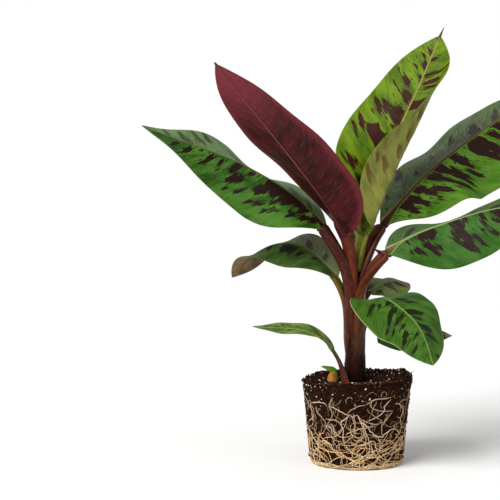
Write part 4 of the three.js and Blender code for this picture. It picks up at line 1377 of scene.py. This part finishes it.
def make_roots():
    rng = np.random.default_rng(21)
    front = []
    for line in FRONT_ROOTS:
        x, z = np.array(line, float).T / 1000
        count = max(int(np.hypot(np.diff(x), np.diff(z)).sum() / ROOT_STEP), 6)
        t = np.linspace(0, 1, count)
        x, z = through(x, t), through(z, t)
        angle = -np.arccos(np.clip(x / side_radius(z), -1, 1))
        angle, z = angle + rng.normal(0, 0.006, count), z + rng.normal(0, 0.0004, count)
        thick = np.full((1, count), rng.uniform(0.00075, 0.001)) * np.linspace(1, 0.7, count)
        front.append((weave(rng, angle[None], z[None], thick, 0.0006), thick, z.mean()))
    for kind in ("pale", "gold"):
        parts = [tubes(path, thick, 6) for path, thick, z in front if (z <= GOLD_BELOW) == (kind == "gold")]
        tints = [(tint, "#5c3a26", 500) for tint in ROOT_TINTS[kind]]
        joined(f"front_roots_{kind}", f"front_{kind}", parts, tints)

    def spread(count, steps, heights, course, low, high, bend, thickness, lift, **_):
        angle = rng.uniform(0, 2 * math.pi, count)
        stride = rng.uniform(0.5, 1.1, count) * ROOT_STEP
        z = rng.uniform(*heights, count)
        start = course(count)
        angle, z = wander(rng, angle, z, start, steps, stride, low, high, bend)
        radius = rng.uniform(*thickness, (count, 1)) * np.linspace(1, 0.6, steps)
        return weave(rng, angle, z, radius, lift), radius

    def downwards(count):
        return -math.pi / 2 + rng.normal(0, 0.75, count)

    def level(count):
        return rng.choice([0, math.pi], count) + rng.normal(0, 0.35, count)

    def any_way(count):
        return rng.uniform(0, 2 * math.pi, count)

    beds = [
        ("roots_pale", "pale", dict(
            count=56, steps=30, heights=(0.06, 0.112), course=downwards, low=0.02,
            high=0.112, bend=0.11, thickness=(0.0003, 0.00065), lift=0.0006, sides=5)),
        ("rootlets", "pale", dict(
            count=96, steps=14, heights=(0.045, 0.115), course=any_way, low=0.03,
            high=0.118, bend=0.16, thickness=(0.0002, 0.0004), lift=0.0005, sides=4)),
        ("roots_falling", "gold", dict(
            count=95, steps=26, heights=(0.03, 0.07), course=downwards, low=0.004,
            high=0.09, bend=0.1, thickness=(0.00035, 0.00065), lift=0.0012, sides=5)),
        ("roots_circling", "gold", dict(
            count=84, steps=44, heights=(0.004, 0.044), course=level, low=0.005,
            high=0.042, bend=0.07, thickness=(0.0004, 0.0009), lift=0.0016, sides=5)),
        ("roots_fringe", "gold", dict(
            count=60, steps=50, heights=(0.0015, 0.007), course=level, low=0.002,
            high=0.007, bend=0.03, thickness=(0.0004, 0.0008), lift=0.0012, sides=5)),
        ("root_hairs", "hair", dict(
            count=420, steps=9, heights=(0.004, 0.125), course=any_way, low=0.003,
            high=FLANK_TOP, bend=0.2, thickness=(0.00012, 0.00022), lift=0.0006, sides=3)),
    ]
    for name, kind, bed in beds:
        tints = ROOT_TINTS[kind]
        parts = deal(*spread(**bed), bed["sides"], len(tints))
        joined(name, name, parts, [(tint, "#4f3018", 500) for tint in tints])


# Grit and crumbs

# Tints as grain_material takes them
GRIT_TINTS = [("#d9d2c4", "#a89c88", 700, 0.8)]
CRUMB_TINTS = [
    ("#1e0c03", "#0a0301", 500, 0.9),
    ("#36180a", "#160702", 500, 0.9),
    ("#522a12", "#261005", 500, 0.9),
]
BARK_TINTS = [("#6b4425", "#3a2010", 400, 0.85)]
LOWEST_GRAIN = 0.003


def grains(rng, centres, sizes, flat):
    """Vertices and faces of small rough lumps, each turned and pulled out of shape by chance."""
    form = bmesh.new()
    bmesh.ops.create_icosphere(form, subdivisions=1, radius=1)
    ball = np.array([v.co for v in form.verts])
    faces = np.array([[v.index for v in f.verts] for f in form.faces])
    form.free()
    count = len(centres)
    turn = np.linalg.qr(rng.normal(size=(count, 3, 3)))[0]
    shape = ball * rng.uniform(0.75, 1.25, (count, len(ball), 1)) * rng.uniform(flat, 1, (count, 1, 3))
    vertices = centres[:, None] + np.einsum("nij,nvj->nvi", turn, shape) * sizes[:, None, None]
    polygons = faces[None] + (np.arange(count) * len(ball))[:, None, None]
    return vertices.reshape(-1, 3), polygons.reshape(-1, 3)


def on_top(rng, count, inner, outer):
    """Points on the soil's top between two radii, clear of the stem."""
    r = np.sqrt(rng.uniform(inner ** 2, outer ** 2, count))
    a = rng.uniform(0, 2 * math.pi, count)
    corner_r, corner_z = np.array(TOP_CORNERS[::-1]).T
    at = np.stack([r * np.cos(a), r * np.sin(a), np.interp(r, corner_r, corner_z)], -1)
    at[:, 2] += soil_lift(at)
    return tilted(at)


def on_flank(rng, heights):
    """Points on the ball's side, one at each height."""
    z = np.clip(heights, LOWEST_GRAIN, FLANK_TOP)
    return on_side(rng.uniform(0, 2 * math.pi, len(z)), z, 0 * z)


def strew(rng, name, kind, centres, sizes, flat, tints):
    """Lays grains at these centres and deals the tints out among them."""
    hands = len(tints)
    parts = [grains(rng, centres[k::hands], sizes[k::hands], flat) for k in range(hands)]
    joined(name, kind, parts, tints, smooth=False)


def make_grit():
    """White grit, dark crumbs and bits of bark, over the top and down the side."""
    rng = np.random.default_rng(8)
    inner, outer = STEM_PROFILE[0][1] + 0.001, BALL_TOP_RADIUS - 0.002
    white = np.concatenate([
        on_top(rng, 150, inner, outer),
        on_flank(rng, BALL_HEIGHT - np.abs(rng.normal(0, 0.02, 75))),
        on_flank(rng, rng.uniform(0.03, 0.12, 50)),
    ])
    sizes = rng.gamma(4, 0.00023, len(white)) + 0.00025
    strew(rng, "grit", "grit", white, sizes, 0.7, GRIT_TINTS)
    dark = np.concatenate([
        on_top(rng, 900, inner, outer),
        on_top(rng, 420, BALL_TOP_RADIUS - 0.006, BALL_TOP_RADIUS),
        on_flank(rng, rng.uniform(0.006, FLANK_TOP, 1100)),
    ])
    sizes = rng.gamma(3, 0.00038, len(dark)) + 0.0004
    strew(rng, "crumbs", "crumb", dark, sizes, 0.45, CRUMB_TINTS)
    bits = np.concatenate([
        on_top(rng, 130, inner, outer),
        on_flank(rng, BALL_HEIGHT - rng.uniform(0.004, 0.05, 80)),
    ])
    sizes = rng.uniform(0.001, 0.0024, len(bits))
    strew(rng, "bark_bits", "bark_bit", bits, sizes, 0.25, BARK_TINTS)


# Floor, light and camera

def make_stage():
    """A pale floor, soft light from all round, and a white backdrop that only the camera sees."""
    bpy.ops.mesh.primitive_plane_add(size=40, location=(0, 0, 0))
    floor = bpy.context.object
    floor.name = "floor"
    s = Shader("floor_paint")
    grain = s.noise(s.place(), 300)
    floor.data.materials.append(s.finish("#f8f8f7", 0.8, s.bump(grain, 0.0002, 0.1)))
    world = bpy.data.worlds.new("studio")
    bpy.context.scene.world = world
    world.use_nodes = True
    tree = world.node_tree
    lamp = tree.nodes["Background"]
    lamp.inputs["Color"].default_value = (1, 1, 1, 1)
    lamp.inputs["Strength"].default_value = AMBIENT
    backdrop = tree.nodes.new("ShaderNodeBackground")
    backdrop.inputs["Color"].default_value = (1, 1, 1, 1)
    mix = tree.nodes.new("ShaderNodeMixShader")
    tree.links.new(tree.nodes.new("ShaderNodeLightPath").outputs["Is Camera Ray"], mix.inputs[0])
    tree.links.new(lamp.outputs[0], mix.inputs[1])
    tree.links.new(backdrop.outputs[0], mix.inputs[2])
    tree.links.new(mix.outputs[0], tree.nodes["World Output"].inputs["Surface"])
    bpy.context.scene.view_settings.view_transform = "Standard"


def aimed(name, data, at, target):
    """Adds a lamp or camera that looks at a target."""
    thing = bpy.data.objects.new(name, data)
    thing.location = at
    thing.rotation_euler = (Vector(target) - Vector(at)).to_track_quat("-Z", "Y").to_euler()
    bpy.context.scene.collection.objects.link(thing)
    return thing


def make_lights():
    key = bpy.data.lights.new("key", "SUN")
    key.energy = KEY_POWER
    key.angle = KEY_ANGLE * DEGREE
    aimed("key", key, KEY_AT, LIGHT_TARGET)
    fill = bpy.data.lights.new("fill", "AREA")
    fill.size = FILL_SIZE
    fill.energy = FILL_POWER
    aimed("fill", fill, FILL_AT, LIGHT_TARGET)


def make_camera():
    data = bpy.data.cameras.new("camera")
    data.lens = LENS
    data.sensor_width = 36
    bpy.context.scene.camera = aimed("camera", data, CAMERA_AT, CAMERA_TARGET)


make_camera()
make_stage()
make_lights()
for leaf in LEAVES:
    make_blade(leaf)
    make_limb(leaf)
    if leaf["name"] in TIP_POINTS:
        make_tip_point(leaf, *TIP_POINTS[leaf["name"]])
    if leaf["name"] == COLLAR_LEAF:
        make_collar(leaf)
make_stem()
make_stub()
make_soil()
make_roots()
make_grit()
make_twig()
